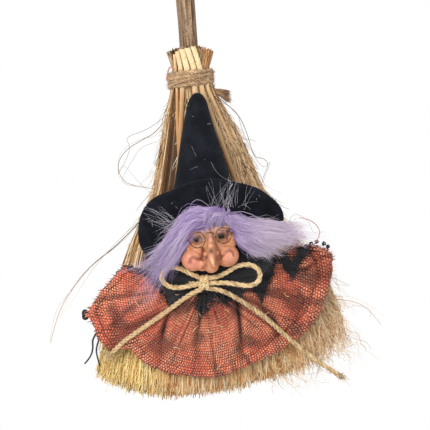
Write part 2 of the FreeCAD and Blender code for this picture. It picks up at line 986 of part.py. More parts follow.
for made in doc.Objects:
    check(made)
os.makedirs("parts", exist_ok=True)
for node in NODES:
    shape = by_label(node).Shape
    if shape.isNull() or not shape.isValid() or not shape.Solids:
        raise ValueError(f"{node} has no sound solid")
    shape.exportStep(f"parts/{node}.step")
    print(f"{node}: {len(shape.Solids)} solid(s), {shape.Volume:.1f} mm3")
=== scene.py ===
"""The looks of a hanging broom: a stick, bound straw, and a witch's head, hat, hair, cape and bow.

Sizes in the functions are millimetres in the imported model's frame: +X to the right of someone looking at the
face, -Y the way the face looks, +Z up the stick, and zero at the middle of the stick's sawn top.
"""

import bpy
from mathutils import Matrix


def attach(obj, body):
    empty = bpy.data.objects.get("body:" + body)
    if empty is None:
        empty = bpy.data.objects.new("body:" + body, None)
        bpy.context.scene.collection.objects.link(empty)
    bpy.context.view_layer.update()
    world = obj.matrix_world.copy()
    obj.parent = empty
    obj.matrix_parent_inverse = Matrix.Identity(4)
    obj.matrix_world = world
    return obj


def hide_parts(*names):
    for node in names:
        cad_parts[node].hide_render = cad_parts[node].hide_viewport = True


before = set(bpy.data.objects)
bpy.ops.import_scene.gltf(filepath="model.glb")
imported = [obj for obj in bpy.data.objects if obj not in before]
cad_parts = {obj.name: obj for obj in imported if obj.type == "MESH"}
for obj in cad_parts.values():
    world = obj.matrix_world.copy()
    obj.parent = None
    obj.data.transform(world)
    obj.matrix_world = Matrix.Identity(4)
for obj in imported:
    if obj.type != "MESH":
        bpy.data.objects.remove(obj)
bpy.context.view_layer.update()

import math
import random

from collections import namedtuple

import bmesh
import bpy
import numpy as np
from bpy.props import FloatProperty, FloatVectorProperty, IntProperty, PointerProperty
from mathutils import Matrix, Vector, noise

bl_info = {
    "name": "Witch on a broom",
    "version": (1, 0, 0),
    "blender": (4, 5, 0),
    "location": "View3D > Sidebar > Broom",
    "description": "Builds the straw, felt, fur, cloth and twine of a hanging broom decoration",
    "category": "Add Mesh",
}

MM = 0.001
ROOT = "broom_figure"
FULL_TURN = 2 * math.pi
SENSOR_WIDE = 36  # the camera's own millimetres


# ---------------------------------------------------------------- shader values and finishes


class Value:
    """A number or colour in a shader. Python's operators on it add Math nodes."""

    def __init__(self, nodes, socket):
        self.nodes = nodes
        self.socket = socket

    def __add__(self, other):
        return self.nodes.maths("ADD", self, other)

    def __sub__(self, other):
        return self.nodes.maths("SUBTRACT", self, other)

    def __rsub__(self, other):
        return self.nodes.maths("SUBTRACT", other, self)

    def __mul__(self, other):
        return self.nodes.maths("MULTIPLY", self, other)

    def __truediv__(self, other):
        return self.nodes.maths("DIVIDE", self, other)

    __radd__ = __add__
    __rmul__ = __mul__


class Nodes:
    """A node tree, and the one method that adds nodes to it."""

    def __init__(self, tree):
        self.tree = tree

    def node(self, kind, settings=None, inputs=None, output=0):
        """Adds a node, gives it its settings and then its inputs, and returns one of its outputs."""
        made = self.tree.nodes.new(f"ShaderNode{kind}")
        for name, value in (settings or {}).items():
            if name == "stops":
                ramp = made.color_ramp
                ramp.elements.remove(ramp.elements[1])
                for index, (position, colour) in enumerate(value):
                    stop = ramp.elements.new(position) if index else ramp.elements[0]
                    stop.position = position
                    stop.color = (*colour, 1)
            else:
                setattr(made, name, value)
        for name, value in (inputs or {}).items():
            if isinstance(value, Value):
                self.tree.links.new(value.socket, made.inputs[name])
            elif isinstance(value, (tuple, list)) and made.inputs[name].type == "RGBA":
                made.inputs[name].default_value = (*value, 1)
            else:
                made.inputs[name].default_value = value
        return Value(self, made.outputs[output])

    def maths(self, operation, first, second=0.0):
        return self.node("Math", {"operation": operation}, {0: first, 1: second})


class Finish(Nodes):
    """One procedural material and the nodes that feed its shader."""

    def __init__(self, name, **fixed):
        self.material = bpy.data.materials.new(name)
        self.material.use_nodes = True
        super().__init__(self.material.node_tree)
        self.shader = self.tree.nodes["Principled BSDF"]
        for socket, value in fixed.items():
            self.shader.inputs[socket.replace("_", " ").title().replace("Ior", "IOR")].default_value = value

    def steps(self, value, low, high, bottom=0.0, top=1.0):
        """The value rising smoothly from bottom at low to top at high."""
        inputs = {"Value": value, "From Min": low, "From Max": high, "To Min": bottom, "To Max": top}
        return self.node("MapRange", {"interpolation_type": "SMOOTHSTEP"}, inputs)

    def place(self, scale=(1, 1, 1)):
        """Object coordinates in millimetres, times a scale for each axis."""
        here = self.node("TexCoord", output="Object")
        grown = tuple(part / MM for part in scale)
        return self.node("Mapping", {"vector_type": "POINT"}, {"Vector": here, "Scale": grown})

    def uv(self, scale=(1, 1, 1)):
        here = self.node("TexCoord", output="UV")
        return self.node("Mapping", {"vector_type": "POINT"}, {"Vector": here, "Scale": scale})

    def axes(self, vector):
        return [self.node("SeparateXYZ", {}, {0: vector}, axis) for axis in "XYZ"]

    def noise(self, vector, scale, detail=2.0, roughness=0.5):
        inputs = {"Vector": vector, "Scale": scale, "Detail": detail, "Roughness": roughness}
        return self.node("TexNoise", {}, inputs)

    def reading(self, attribute):
        return self.node("Attribute", {"attribute_name": attribute}, output="Fac")

    def ramp(self, value, stops):
        return self.node("ValToRGB", {"stops": [(at, paint(shade)) for at, shade in stops]}, {"Fac": value})

    def mix(self, share, first, second, how="MIX"):
        inputs = {0: share, 6: paint(first), 7: paint(second)}
        return self.node("Mix", {"data_type": "RGBA", "blend_type": how}, inputs, 2)

    def feed(self, socket, value):
        self.tree.links.new(value.socket, self.shader.inputs[socket])

    def bump(self, height, depth):
        """Raises the surface by the height, where 1 is a depth in millimetres."""
        inputs = {"Height": height, "Distance": depth * MM, "Strength": 1.0}
        self.feed("Normal", self.node("Bump", {}, inputs))


def tint(code):
    """A colour written as six hex digits, in the linear numbers that a shader takes."""
    shades = [int(code[k : k + 2], 16) / 255 for k in (0, 2, 4)]
    return tuple(c / 12.92 if c <= 0.04045 else ((c + 0.055) / 1.055) ** 2.4 for c in shades)


def paint(shade):
    """A colour as a node takes it, from six hex digits, three numbers or a value that nodes have made."""
    if isinstance(shade, str):
        return tint(shade)
    return shade if isinstance(shade, Value) else tuple(shade)


def colour(name, description, code):
    return FloatVectorProperty(
        name=name, description=description, subtype="COLOR", size=3, min=0, max=1, default=tint(code)
    )


def size(name, description, default, low, high):
    """A length, in metres as Blender's own are."""
    return FloatProperty(
        name=name, description=description, default=default, min=low, max=high, unit="LENGTH"
    )


def watts(name, description, default):
    return FloatProperty(name=name, description=description, default=default, min=0, max=100, unit="POWER")


def count(name, description, default):
    return IntProperty(name=name, description=description, default=default, min=1, max=20000)


# ---------------------------------------------------------------- geometry

Strand = namedtuple("Strand", "points radii tone depth", defaults=(0.0,))


def tapered(points, root, tip, tone, depth=0.0):
    """A strand whose radius goes evenly from its root to its tip."""
    return Strand(np.array(points), np.linspace(root, tip, len(points)), tone, depth)


def piece(name, mesh, finish, stands_for=()):
    """Puts a finished mesh on the broom's body with its finish and hides the CAD nodes it stands for."""
    mesh.name = name
    obj = bpy.data.objects.new(name, mesh)
    bpy.context.scene.collection.objects.link(obj)
    mesh.materials.clear()
    mesh.materials.append(finish)
    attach(obj, ROOT)
    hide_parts(*stands_for)
    return obj


def evaluated(obj):
    """The mesh of an object that isn't kept, with its modifiers or bevel."""
    bpy.context.scene.collection.objects.link(obj)
    bpy.context.view_layer.update()
    mesh = bpy.data.meshes.new_from_object(obj.evaluated_get(bpy.context.evaluated_depsgraph_get()))
    bpy.data.objects.remove(obj)
    return mesh


def mark(mesh, name, values):
    """Gives each point of a mesh a number that its material reads."""
    made = mesh.attributes.new(name, "FLOAT", "POINT")
    made.data.foreach_set("value", np.asarray(values, dtype=np.float32))


def strands(routes, sides=3):
    """One mesh of round strands, with their tones, and depths from 0 to 1 that set their painted shade, as
    attributes of its points.
    """
    section = bpy.data.curves.new("section", "CURVE")
    outline = section.splines.new("POLY")
    outline.points.add(sides - 1)
    outline.use_cyclic_u = True
    for k, point in enumerate(outline.points):
        turn = FULL_TURN * k / sides
        point.co = (math.cos(turn), math.sin(turn), 0, 1)
    section_obj = bpy.data.objects.new("section", section)
    bpy.context.scene.collection.objects.link(section_obj)
    curve = bpy.data.curves.new("strands", "CURVE")
    curve.dimensions = "3D"
    curve.bevel_mode = "OBJECT"
    curve.bevel_object = section_obj
    for route in routes:
        spline = curve.splines.new("POLY")
        spline.points.add(len(route.points) - 1)
        places = np.ones((len(route.points), 4))
        places[:, :3] = np.asarray(route.points) * MM
        spline.points.foreach_set("co", places.ravel())
        spline.points.foreach_set("radius", np.asarray(route.radii) * MM)
    mesh = evaluated(bpy.data.objects.new("strands", curve))
    bpy.data.objects.remove(section_obj)
    corners = [len(route.points) * sides for route in routes]
    mark(mesh, "tone", np.repeat([route.tone for route in routes], corners))
    mark(mesh, "depth", np.repeat([route.depth for route in routes], corners))
    mesh.shade_smooth()
    return mesh


def smoothed(route, closeness=8):
    """The points of a smooth NURBS line whose control points are the route's."""
    curve = bpy.data.curves.new("line", "CURVE")
    curve.dimensions = "3D"
    curve.resolution_u = closeness
    spline = curve.splines.new("NURBS")
    spline.points.add(len(route) - 1)
    for point, place in zip(spline.points, route):
        point.co = (*(part * MM for part in place), 1)
    spline.order_u = 3
    spline.use_endpoint_u = True
    line = evaluated(bpy.data.objects.new("line", curve))
    points = np.array([vertex.co for vertex in line.vertices]) / MM
    bpy.data.meshes.remove(line)
    return points


def evenly(points, gap):
    """Points at even distances along a line of points."""
    lengths = np.linalg.norm(np.diff(points, axis=0), axis=1)
    reach = np.concatenate([[0], np.cumsum(lengths)])
    marks = np.linspace(0, reach[-1], max(2, int(reach[-1] / gap) + 1))
    return np.stack([np.interp(marks, reach, points[:, axis]) for axis in range(3)], axis=1)


def line_frames(points):
    """Two directions square to the line at each of its points, which turn with it as little as they can."""
    along = np.gradient(points, axis=0)
    along /= np.linalg.norm(along, axis=1)[:, None]
    side = np.cross(along[0], (0.31, 0.22, 0.92))
    sides = []
    for heading in along:
        side = side - heading * np.dot(side, heading)
        side = side / np.linalg.norm(side)
        sides.append(side)
    sides = np.array(sides)
    return sides, np.cross(along, sides)


def rope(points, radius, plies=3, lay=6.5):
    """Strand routes for the twisted plies of a twine along a line of points."""
    line = evenly(points, 0.55)
    side, other = line_frames(line)
    reach = np.arange(len(line)) * 0.55
    routes = []
    for ply in range(plies):
        turn = FULL_TURN * (reach / lay + ply / plies)
        spread = radius * 0.53
        offset = side * np.cos(turn)[:, None] + other * np.sin(turn)[:, None]
        radii = np.full(len(line), radius * 0.5)
        routes.append(Strand(line + offset * spread, radii, random.random()))
    return routes


def fuzz(points, radius, per_mm, reach=1.6):
    """Short loose fibres standing off a twine."""
    line = evenly(points, 1.0)
    side, other = line_frames(line)
    routes = []
    for _ in range(int(len(line) * per_mm)):
        k = random.randrange(1, len(line))
        turn = random.uniform(0, FULL_TURN)
        out = side[k] * math.cos(turn) + other[k] * math.sin(turn)
        along = (line[k] - line[k - 1]) * random.choice((-1, 1))
        long = reach * random.uniform(0.4, 1.0)
        root = line[k] + out * radius * 0.8
        middle = root + out * long * 0.5 + along * long * 0.5
        tip = middle + out * long * random.uniform(-0.2, 0.5) + along * long * random.uniform(0.2, 0.9)
        routes.append(Strand(np.array([root, middle, tip]), (0.07, 0.055, 0.02), random.random()))
    return routes


def tube_mesh(segments, rings, shape):
    """A tube of quads whose vertices go to shape(turn, share), where share runs from 0 at one end to 1."""
    bm = bmesh.new()
    bmesh.ops.create_cone(bm, segments=segments, radius1=1, radius2=1, depth=1, cap_ends=False)
    upright = [e for e in bm.edges if abs(e.verts[0].co.z - e.verts[1].co.z) > 0.5]
    bmesh.ops.subdivide_edges(bm, edges=upright, cuts=rings - 1, use_grid_fill=True)
    for vertex in bm.verts:
        turn = math.atan2(vertex.co.y, vertex.co.x)
        vertex.co = Vector(shape(turn, vertex.co.z + 0.5)) * MM
    bmesh.ops.remove_doubles(bm, verts=bm.verts, dist=0.01 * MM)
    bmesh.ops.recalc_face_normals(bm, faces=bm.faces)
    return to_mesh(bm)


def to_mesh(bm):
    mesh = bpy.data.meshes.new("shape")
    bm.to_mesh(mesh)
    bm.free()
    mesh.shade_smooth()
    return mesh


def with_modifiers(mesh, *steps):
    """The mesh after some modifiers, each given as its kind and its settings."""
    obj = bpy.data.objects.new("shape", mesh)
    for kind, settings in steps:
        modifier = obj.modifiers.new(kind.lower(), kind)
        for name, value in settings.items():
            setattr(modifier, name, value)
    return evaluated(obj)


def lump(bm, middle, radii, lean):
    """Adds a ball with three radii, leant to one side by an angle."""
    made = bmesh.ops.create_icosphere(bm, subdivisions=4, radius=1)["verts"]
    bmesh.ops.scale(bm, vec=[radius * MM for radius in radii], verts=made)
    bmesh.ops.rotate(bm, matrix=Matrix.Rotation(lean, 3, "Y"), verts=made)
    bmesh.ops.translate(bm, vec=middle * MM, verts=made)


def run_together(bm, grain, rounds):
    """The mesh of lumps run into one skin, with its grain in millimetres and its rounds of smoothing."""
    return with_modifiers(
        to_mesh(bm),
        ("REMESH", {"mode": "VOXEL", "voxel_size": grain * MM}),
        ("SMOOTH", {"factor": 0.5, "iterations": rounds}),
    )


def wobble(x, y=0.0, z=0.0, layer=0):
    """Smooth noise from about -1 to 1."""
    return noise.noise(Vector((x, y, z + 17.3 * layer)))


# ---------------------------------------------------------------- finishes


def wood_finish(look):
    finish = Finish("weathered_bark", roughness=0.78)
    along = finish.noise(finish.place((0.9, 0.9, 0.035)), 1.0, 4.0, 0.6)
    patches = finish.noise(finish.place((0.12, 0.12, 0.05)), 1.0, 2.0)
    speck = finish.noise(finish.place((1.6, 1.6, 0.9)), 1.0, 1.0)
    grain = finish.ramp(along, ((0.4, look.bark_dark), (0.5, look.bark), (0.6, look.bark_light)))
    greyed = finish.mix(finish.steps(patches, 0.45, 0.7, 0.0, 0.7), grain, "8a7158")
    spots = finish.mix(finish.steps(speck, 0.56, 0.66, 0.0, 0.75), greyed, "4a382b")
    # painted shade: the open crack down the stick's right side is filled with dark brown
    crack_shaded = finish.mix(finish.reading("crack"), spots, "2e1d17")
    finish.feed("Base Color", crack_shaded)
    finish.bump(along * 0.7 + speck * 0.3, 0.5)
    return finish.material


def straw_finish(name, stops, rough=0.6, right_highlight=0.75):
    """Dry stalks, each with its own tone and paler towards the cut ends, with painted shade deep inside and a
    painted highlight right of the middle.
    """
    finish = Finish(name, roughness=rough, specular_ior_level=0.35)
    tone = finish.reading("tone")
    streak = finish.noise(finish.place((1.2, 1.2, 0.12)), 1.0, 2.0)
    shade = tone * 0.75 + streak * 0.25
    upper = finish.ramp(shade, stops)
    lower = finish.ramp(shade, ((0.15, "b06e32"), (0.36, "f0ac62"), (0.58, "ffd898"), (0.8, "fff2ce")))
    x, _, z = finish.axes(finish.place())
    # painted highlight: paler stalks right of the middle of the upper fan
    lit = finish.mix(finish.steps(x, 6, 22) * finish.steps(tone, 0.16, 0.42, 0.0, right_highlight), upper, "ffdfb2")
    orange = finish.steps(x, 4, 9) * finish.steps(z, -199, -196) * finish.steps(tone, 0.0, 0.8, 0.75, 0.2)
    stub = finish.mix(orange, lit, "dc8f4a")
    base = finish.mix(finish.steps(z, -296, -330), stub, lower)
    yellow = finish.steps(x, -14, -46) * finish.steps(z, -335, -355)
    golden = finish.mix(yellow * finish.steps(tone, 0.0, 0.6, 0.25, 0.75), base, "ffe592")
    cream = finish.steps(x, 35, 70) * finish.steps(z, -310, -335)
    pale = finish.mix(cream * finish.steps(tone, 0.1, 0.6, 0.15, 0.85), golden, "ffeac6")
    # painted shade: stalks far inside the fan are darkened toward dark brown, less so low down and on the
    # right
    deep = finish.reading("depth") * finish.steps(z, -352, -315, 0.6, 0.94)
    depth_shade = deep * finish.steps(x, 35, 70, 1.0, 0.55)
    finish.feed("Base Color", finish.mix(depth_shade, pale, "37200f"))
    finish.bump(streak, 0.15)
    return finish.material


def reed_finish(look):
    finish = Finish("reed", roughness=0.5, specular_ior_level=0.4)
    fibre = finish.noise(finish.place((2.2, 2.2, 0.05)), 1.0, 3.0)
    blotch = finish.noise(finish.place((0.3, 0.3, 0.12)), 1.0, 2.0)
    base = finish.ramp(fibre, ((0.3, "dcbc84"), (0.5, look.reed), (0.7, "fdf0cc")))
    aged = finish.mix(finish.steps(blotch, 0.52, 0.72, 0.0, 0.4), base, "c9a06c")
    x, _, z = finish.axes(finish.place())
    brown = finish.steps(z, -200, -208, 0.0, 0.6) + finish.steps(x, -2, -9, 0.0, 0.3)
    browned = finish.mix(brown, aged, "c08a52")
    # painted shade: the reeds darken from z -225 down to -262, where they run beside and behind the hat
    finish.feed("Base Color", finish.mix(finish.steps(z, -225, -262, 0.0, 0.5), browned, "a06a38"))
    finish.bump(fibre, 0.2)
    return finish.material


def jute_finish(name, dark, middle, light):
    """Twisted bast fibre, streaked along each ply's own map."""
    finish = Finish(name, roughness=0.85, sheen_weight=0.25, sheen_roughness=0.6)
    fine = finish.noise(finish.uv((40, 9, 1)), 1.0, 2.0)
    patch = finish.noise(finish.place((0.5, 0.5, 0.5)), 1.0, 2.0)
    shade = fine * 0.55 + patch * 0.3 + finish.reading("tone") * 0.15
    finish.feed("Base Color", finish.ramp(shade, ((0.34, dark), (0.5, middle), (0.64, light))))
    finish.bump(fine, 0.25)
    return finish.material


def felt_finish(look):
    finish = Finish("felt", roughness=0.95, sheen_weight=0.06, sheen_roughness=0.4, specular_ior_level=0.15)
    fibre = finish.noise(finish.place((1.4, 1.4, 1.4)), 1.0, 4.0, 0.7)
    cloud = finish.noise(finish.place((0.14, 0.14, 0.14)), 1.0, 3.0)
    base = finish.mix(finish.steps(cloud, 0.35, 0.7), look.felt, "1d2028")
    flecked = finish.mix(finish.steps(fibre, 0.58, 0.78, 0.0, 0.4), base, "3a3e4a")
    finish.feed("Base Color", flecked)
    finish.bump(fibre, 0.35)
    return finish.material


def skin_finish(look):
    """Painted moulded skin: pink on the cheeks, with painted shade in the creases, the eye sockets and beside
    the nose tip, and a painted highlight on the nose tip and the right cheek.
    """
    finish = Finish(
        "painted_skin", roughness=0.42, coat_weight=0.15, coat_roughness=0.35, specular_ior_level=0.5
    )
    mottle = finish.noise(finish.place((0.35, 0.35, 0.35)), 1.0, 3.0)
    pores = finish.noise(finish.place((2.5, 2.5, 2.5)), 1.0, 2.0)
    base = finish.ramp(mottle, ((0.3, "b9714a"), (0.5, look.skin), (0.7, "e0a077")))
    _, _, z = finish.axes(finish.place())
    upper = finish.mix(finish.steps(z, -294, -286, 0.0, 0.6), base, "d0a69c")
    blushed = finish.mix(finish.reading("blush"), upper, look.blush)
    # painted highlight on the nose tip and the right cheek
    raised = finish.mix(finish.reading("highlights_and_patches"), blushed, "efb98a")
    # painted shade in the creases, the eye sockets and beside the nose tip
    sunk = finish.mix(finish.reading("painted_shade"), raised, "45190c")
    wart = finish.mix(finish.reading("wart"), sunk, "5f3a2a")
    finish.feed("Base Color", wart)
    finish.bump(pores * 0.4 + mottle * 0.6, 0.25)
    return finish.material


def eye_finish():
    finish = Finish("painted_eye", roughness=0.35, specular_ior_level=0.25)
    iris = finish.reading("iris")
    shown = finish.ramp(iris, ((0.0, "6e5140"), (0.16, "4c3325"), (0.3, "1c110c"), (1.0, "080606")))
    finish.feed("Base Color", shown)
    return finish.material


def brass_finish():
    finish = Finish("aged_brass_wire", metallic=1.0)
    tarnish = finish.noise(finish.place((0.8, 0.8, 0.8)), 1.0, 3.0)
    finish.feed("Base Color", finish.ramp(tarnish, ((0.3, "4a3018"), (0.55, "7d5731"), (0.75, "b98d55"))))
    finish.feed("Roughness", tarnish * 0.35 + 0.18)
    finish.bump(tarnish, 0.08)
    return finish.material


def hair_finish(look):
    """Purple pile, paler towards the tips and nearly white at the right-hand end."""
    finish = Finish("purple_pile", roughness=0.5, sheen_weight=0.1, specular_ior_level=0.35)
    tone = finish.reading("tone")
    x, _, _ = finish.axes(finish.place())
    along, _, _ = finish.axes(finish.uv())
    base = finish.ramp(tone, ((0.0, look.violet), (0.5, look.lilac), (1.0, "e2d0ee")))
    tips = finish.steps(along, 0.4, 1.0, 0.0, 0.6) * finish.steps(tone, 0.0, 0.8, 0.4, 1.0)
    pale = finish.mix(tips, base, "e6d9e8")
    right = finish.steps(x, 12, 46, 0.0, 0.85)
    finish.feed("Base Color", finish.mix(right, pale, "f8e8f8"))
    return finish.material


def cloth_finish(look):
    """Coarse cloth of coral dashes over black, read from the cloth's own map in millimetres."""
    finish = Finish("coral_and_black_cloth", roughness=0.88, sheen_weight=0.1, sheen_roughness=0.5)
    u, v, _ = finish.axes(finish.uv())
    wander = finish.noise(finish.place((0.3, 0.3, 0.3)), 1.0, 3.0)
    pick = v / 1.45 + wander * 0.8
    row = finish.maths("FLOOR", pick)
    dash = finish.maths("SINE", (u / 1.75 + row * 0.36 + wander * 1.5) * FULL_TURN) * 0.5 + 0.5
    ridge = finish.maths("SINE", (finish.maths("FRACT", pick)) * FULL_TURN / 2)
    fleck = finish.noise(finish.uv((0.9, 1.2, 1)), 1.0, 3.0)
    speck = finish.noise(finish.uv((0.12, 0.12, 1)), 1.0, 2.0)
    shown = finish.steps(dash * 0.7 + fleck * 0.8, 0.4, 0.84) * finish.steps(ridge, 0.06, 0.55)
    # random patches of deeper coral in the weft
    highlights_and_patches = finish.noise(finish.place((0.055, 0.055, 0.055)), 1.0, 2.0)
    dashes = finish.mix(finish.steps(fleck, 0.38, 0.62), look.coral, look.coral_light)
    coral = finish.mix(finish.steps(highlights_and_patches, 0.42, 0.62, 0.0, 0.55), dashes, "e0533a")
    under = finish.mix(finish.steps(speck, 0.38, 0.6), look.warp, "983e2e")
    woven = finish.mix(shown, under, coral)
    black = finish.mix(finish.steps(fleck, 0.5, 0.75, 0.0, 0.5), "121216", "34323b")
    tangle = finish.noise(finish.place((0.26, 0.26, 0.26)), 1.0, 3.0, 0.6)
    ragged = finish.noise(finish.place((1.1, 1.1, 0.7)), 1.0, 3.0, 0.7)
    edge = finish.reading("band") + (tangle - 0.5) * 11.0 + (ragged - 0.5) * 15.0 + (shown - 0.5) * -1.2
    banded = finish.mix(finish.steps(edge, -0.5, 0.7), woven, black)
    # painted shade in the fold valleys, gathers, crumples and along the hem
    shaded = finish.mix(finish.reading("valley"), banded, "2a1414", "MULTIPLY")
    finish.feed("Base Color", shaded)
    finish.bump(shown * 0.6 + ridge * 0.4, 0.5)
    return finish.material


def frill_finish():
    """The black border of the cape, loosely woven of dark yarn with a grey bloom."""
    finish = Finish("black_cloth", roughness=0.9, sheen_weight=0.1, sheen_roughness=0.5)
    grain = finish.noise(finish.place((0.9, 0.9, 0.9)), 1.0, 4.0, 0.7)
    finish.feed("Base Color", finish.ramp(grain, ((0.35, "0e0e11"), (0.55, "1e1d22"), (0.72, "3d3b44"))))
    finish.bump(grain, 0.8)
    return finish.material


def plain_finish(name, first, second, grain=1.0, rough=0.9, raised=0.3):
    """A plain material with two shades in soft patches and a grain to match."""
    finish = Finish(name, roughness=rough)
    patch = finish.noise(finish.place((grain, grain, grain)), 1.0, 3.0)
    finish.feed("Base Color", finish.ramp(patch, ((0.35, first), (0.65, second))))
    finish.bump(patch, raised)
    return finish.material


# ---------------------------------------------------------------- stick, straw and binding

BINDING_Z = -199.0
NECK_RADIUS = 10.8
NECK_TOP = -193.0
NECK_FOOT = -205.0
FAN_LENGTH = 175.0
STUB_TOP = -182.0
FAN_EDGES = (  # drop below the neck, and how far the straw reaches to the left and to the right there
    (-22, -12.0, 13.6), (-12, -9.9, 11.0), (0, -11.2, 12.4), (15, -16.2, 19.8), (35, -20.8, 28.8),
    (49, -24.0, 33.2), (58, -26.2, 35.6), (70, -32.5, 42.0), (81, -38.5, 49.0), (95, -45.0, 58.5),
    (113, -51.5, 69.5), (138, -59.0, 77.5), (157, -64.5, 81.5), (190, -69.5, 85.0),
)
FAN_TRIM = (  # share of the way from the middle to an edge, and how far from the binding the cut is
    (-1.0, 175.0), (-0.7, 178.0), (-0.4, 179.0), (-0.15, 177.0), (0.05, 176.5), (0.2, 174.0), (0.5, 174.0),
    (0.75, 175.5), (1.0, 172.0),
)
FAN_DEPTHS = ((-22, 12.0, 12.0), (-12, 9.6, 10.4), (0, 9.4, 10.8), (190, 12.6, 14.2))  # drop, front and back
# the stalks where the straw parts get full painted shade, so that the gaps show dark
DARK_GAPS = ((-0.87, -0.56, 0.985), (0.44, 0.58, 0.7))  # shares where the straw parts, and how often there
REEDS = (  # place across at the binding, width, lean at the top, height of the top, slope below, lowest drop
    (-8.2, 1.9, 0.0, -184.8, -0.05, 40),
    (-5.2, 2.9, -1.35, -183.3, -0.11, 44),
    (-1.6, 3.5, -2.1, -182.3, 0.0, -2),
    (2.1, 3.4, -2.9, -181.8, 0.02, 20),
    (5.6, 3.1, -2.75, -181.2, 0.30, 84),
    (9.3, 2.3, 0.0, -196.5, 0.37, 40),
)
RED_ROUTES = (  # a loop of thread caught under the binding and a scrap on the straw, and their radii
    ([(-9.2, -9.5, -193.6), (-10.4, -9.0, -191.7), (-11.9, -8.5, -192.4), (-13.0, -8.0, -195.2),
      (-13.8, -7.5, -199.0)], 0.42),
    ([(56.0, -33.0, -282.5), (60.5, -33.0, -283.0), (66.5, -31.0, -288.0), (67.5, -27.0, -294.0),
      (62.0, -24.0, -299.5)], 0.24),
)


def make_stick(look):
    """A debarked twig with a crack down its right side and a strip of bark standing off beyond the crack."""
    foot, radius = -262.0, 5.2
    crack_turn, crack_foot = -0.84, -176.0

    def reach(turn, z):
        side = math.atan2(math.sin(turn - crack_turn), math.cos(turn - crack_turn))
        here = 1 if z > crack_foot else 0
        opened = here * math.exp(-((side - wobble(0, z * 0.05) * 0.08) / 0.07) ** 2)
        lip = here * math.exp(-(((side - 0.28) / 0.17) ** 2)) * (0.3 + 0.3 * wobble(2, z * 0.06))
        knots = wobble(math.cos(turn) * 1.5, math.sin(turn) * 1.5, z * 0.05) * 0.3
        fibre = wobble(math.cos(turn) * 9, math.sin(turn) * 9, z * 0.04, 2) * 0.16
        return opened, lip + knots + fibre - opened * 1.1

    def shape(turn, share):
        z = foot * (1 - share)
        thick = radius - 0.6 * (z < -186)
        _, bulge = reach(turn, z)
        bend = 0.35 * math.sin(z * 0.021)
        return (thick + bulge) * math.cos(turn) + bend, (thick + bulge) * math.sin(turn), z

    mesh = tube_mesh(96, 220, shape)
    bm = bmesh.new()
    bm.from_mesh(mesh)
    for height in (0.0, foot * MM):
        rim = [e for e in bm.edges if e.is_boundary and abs(e.verts[0].co.z - height) < MM]
        cap = bmesh.ops.holes_fill(bm, edges=rim)["faces"]
        bmesh.ops.inset_region(bm, faces=cap, thickness=0.5 * MM, depth=-0.12 * MM)
    mesh = to_mesh(bm)
    # how open the crack is at each point, which sets how much painted shade it gets
    cracks = [reach(math.atan2(v.co.y, v.co.x), v.co.z / MM)[0] for v in mesh.vertices]
    mark(mesh, "crack", cracks)
    piece("stick_bark", mesh, wood_finish(look), ["handle"])


def fan_end(share):
    """How far below the neck a stalk is cut off, for its share of the way from the middle to an edge."""
    drops = np.linspace(100, 190, 91)
    middle, half = fan_width(drops)
    away = np.hypot(middle + half * share, NECK_FOOT - drops - BINDING_Z)
    return float(np.interp(np.interp(share, *zip(*FAN_TRIM)), away, drops))


def fan_place(turn, rank, drop):
    """A point in the straw, by its turn from the right, rank out from the middle and drop from the neck."""
    share, front = rank * math.cos(turn), rank * math.sin(turn)
    middle, half = fan_width(drop)
    drops, ahead, behind = zip(*FAN_DEPTHS)
    deep = np.interp(drop, drops, ahead if front > 0 else behind)
    return float(middle + half * share), float(-deep * front), float(NECK_FOOT - drop)


def fan_width(drop):
    """The middle of the fan from side to side, and half its width, at a drop below the neck."""
    drops, lefts, rights = zip(*FAN_EDGES)
    left, right = np.interp(drop, drops, lefts), np.interp(drop, drops, rights)
    return (left + right) / 2, (right - left) / 2


def stalk(turn, rank, start, end, thick, points, sway=1.0):
    """One stalk of broom straw, which waves more towards its cut end."""
    seed = random.uniform(0, 1000)
    drops = np.linspace(start, end, points)
    if start < -12:
        drops = np.concatenate(((start, -12.0, -2.0), np.linspace(10, end, points - 3)))
    stray = random.gauss(0, 0.05) * sway
    turns = [math.acos(max(-1.0, min(1.0, math.cos(turn) + stray * max(0.0, drop / end)))) for drop in drops]
    side = 1 if math.sin(turn) > 0 else -1
    line = np.array([fan_place(side * there, rank, drop) for there, drop in zip(turns, drops)])
    loose = np.clip(drops / FAN_LENGTH, 0, 1) ** 1.2 * sway * (1 - 0.6 * abs(math.cos(turn)) ** 3)
    for k, drop in enumerate(drops):
        slow, quick = wobble(seed, drop * 0.022), wobble(seed, drop * 0.11, 2)
        line[k, 0] += slow * 3.2 * loose[k] + quick * min(1.4, 3.0 * loose[k])
        line[k, 1] += wobble(seed, drop * 0.022, 5) * 1.8 * loose[k]
    radii = np.full(points, thick)
    radii[-1] *= 0.7
    line = np.vstack([line, line[-1] + (line[-1] - line[-2]) * 0.02])
    return line, np.append(radii, 0.01)


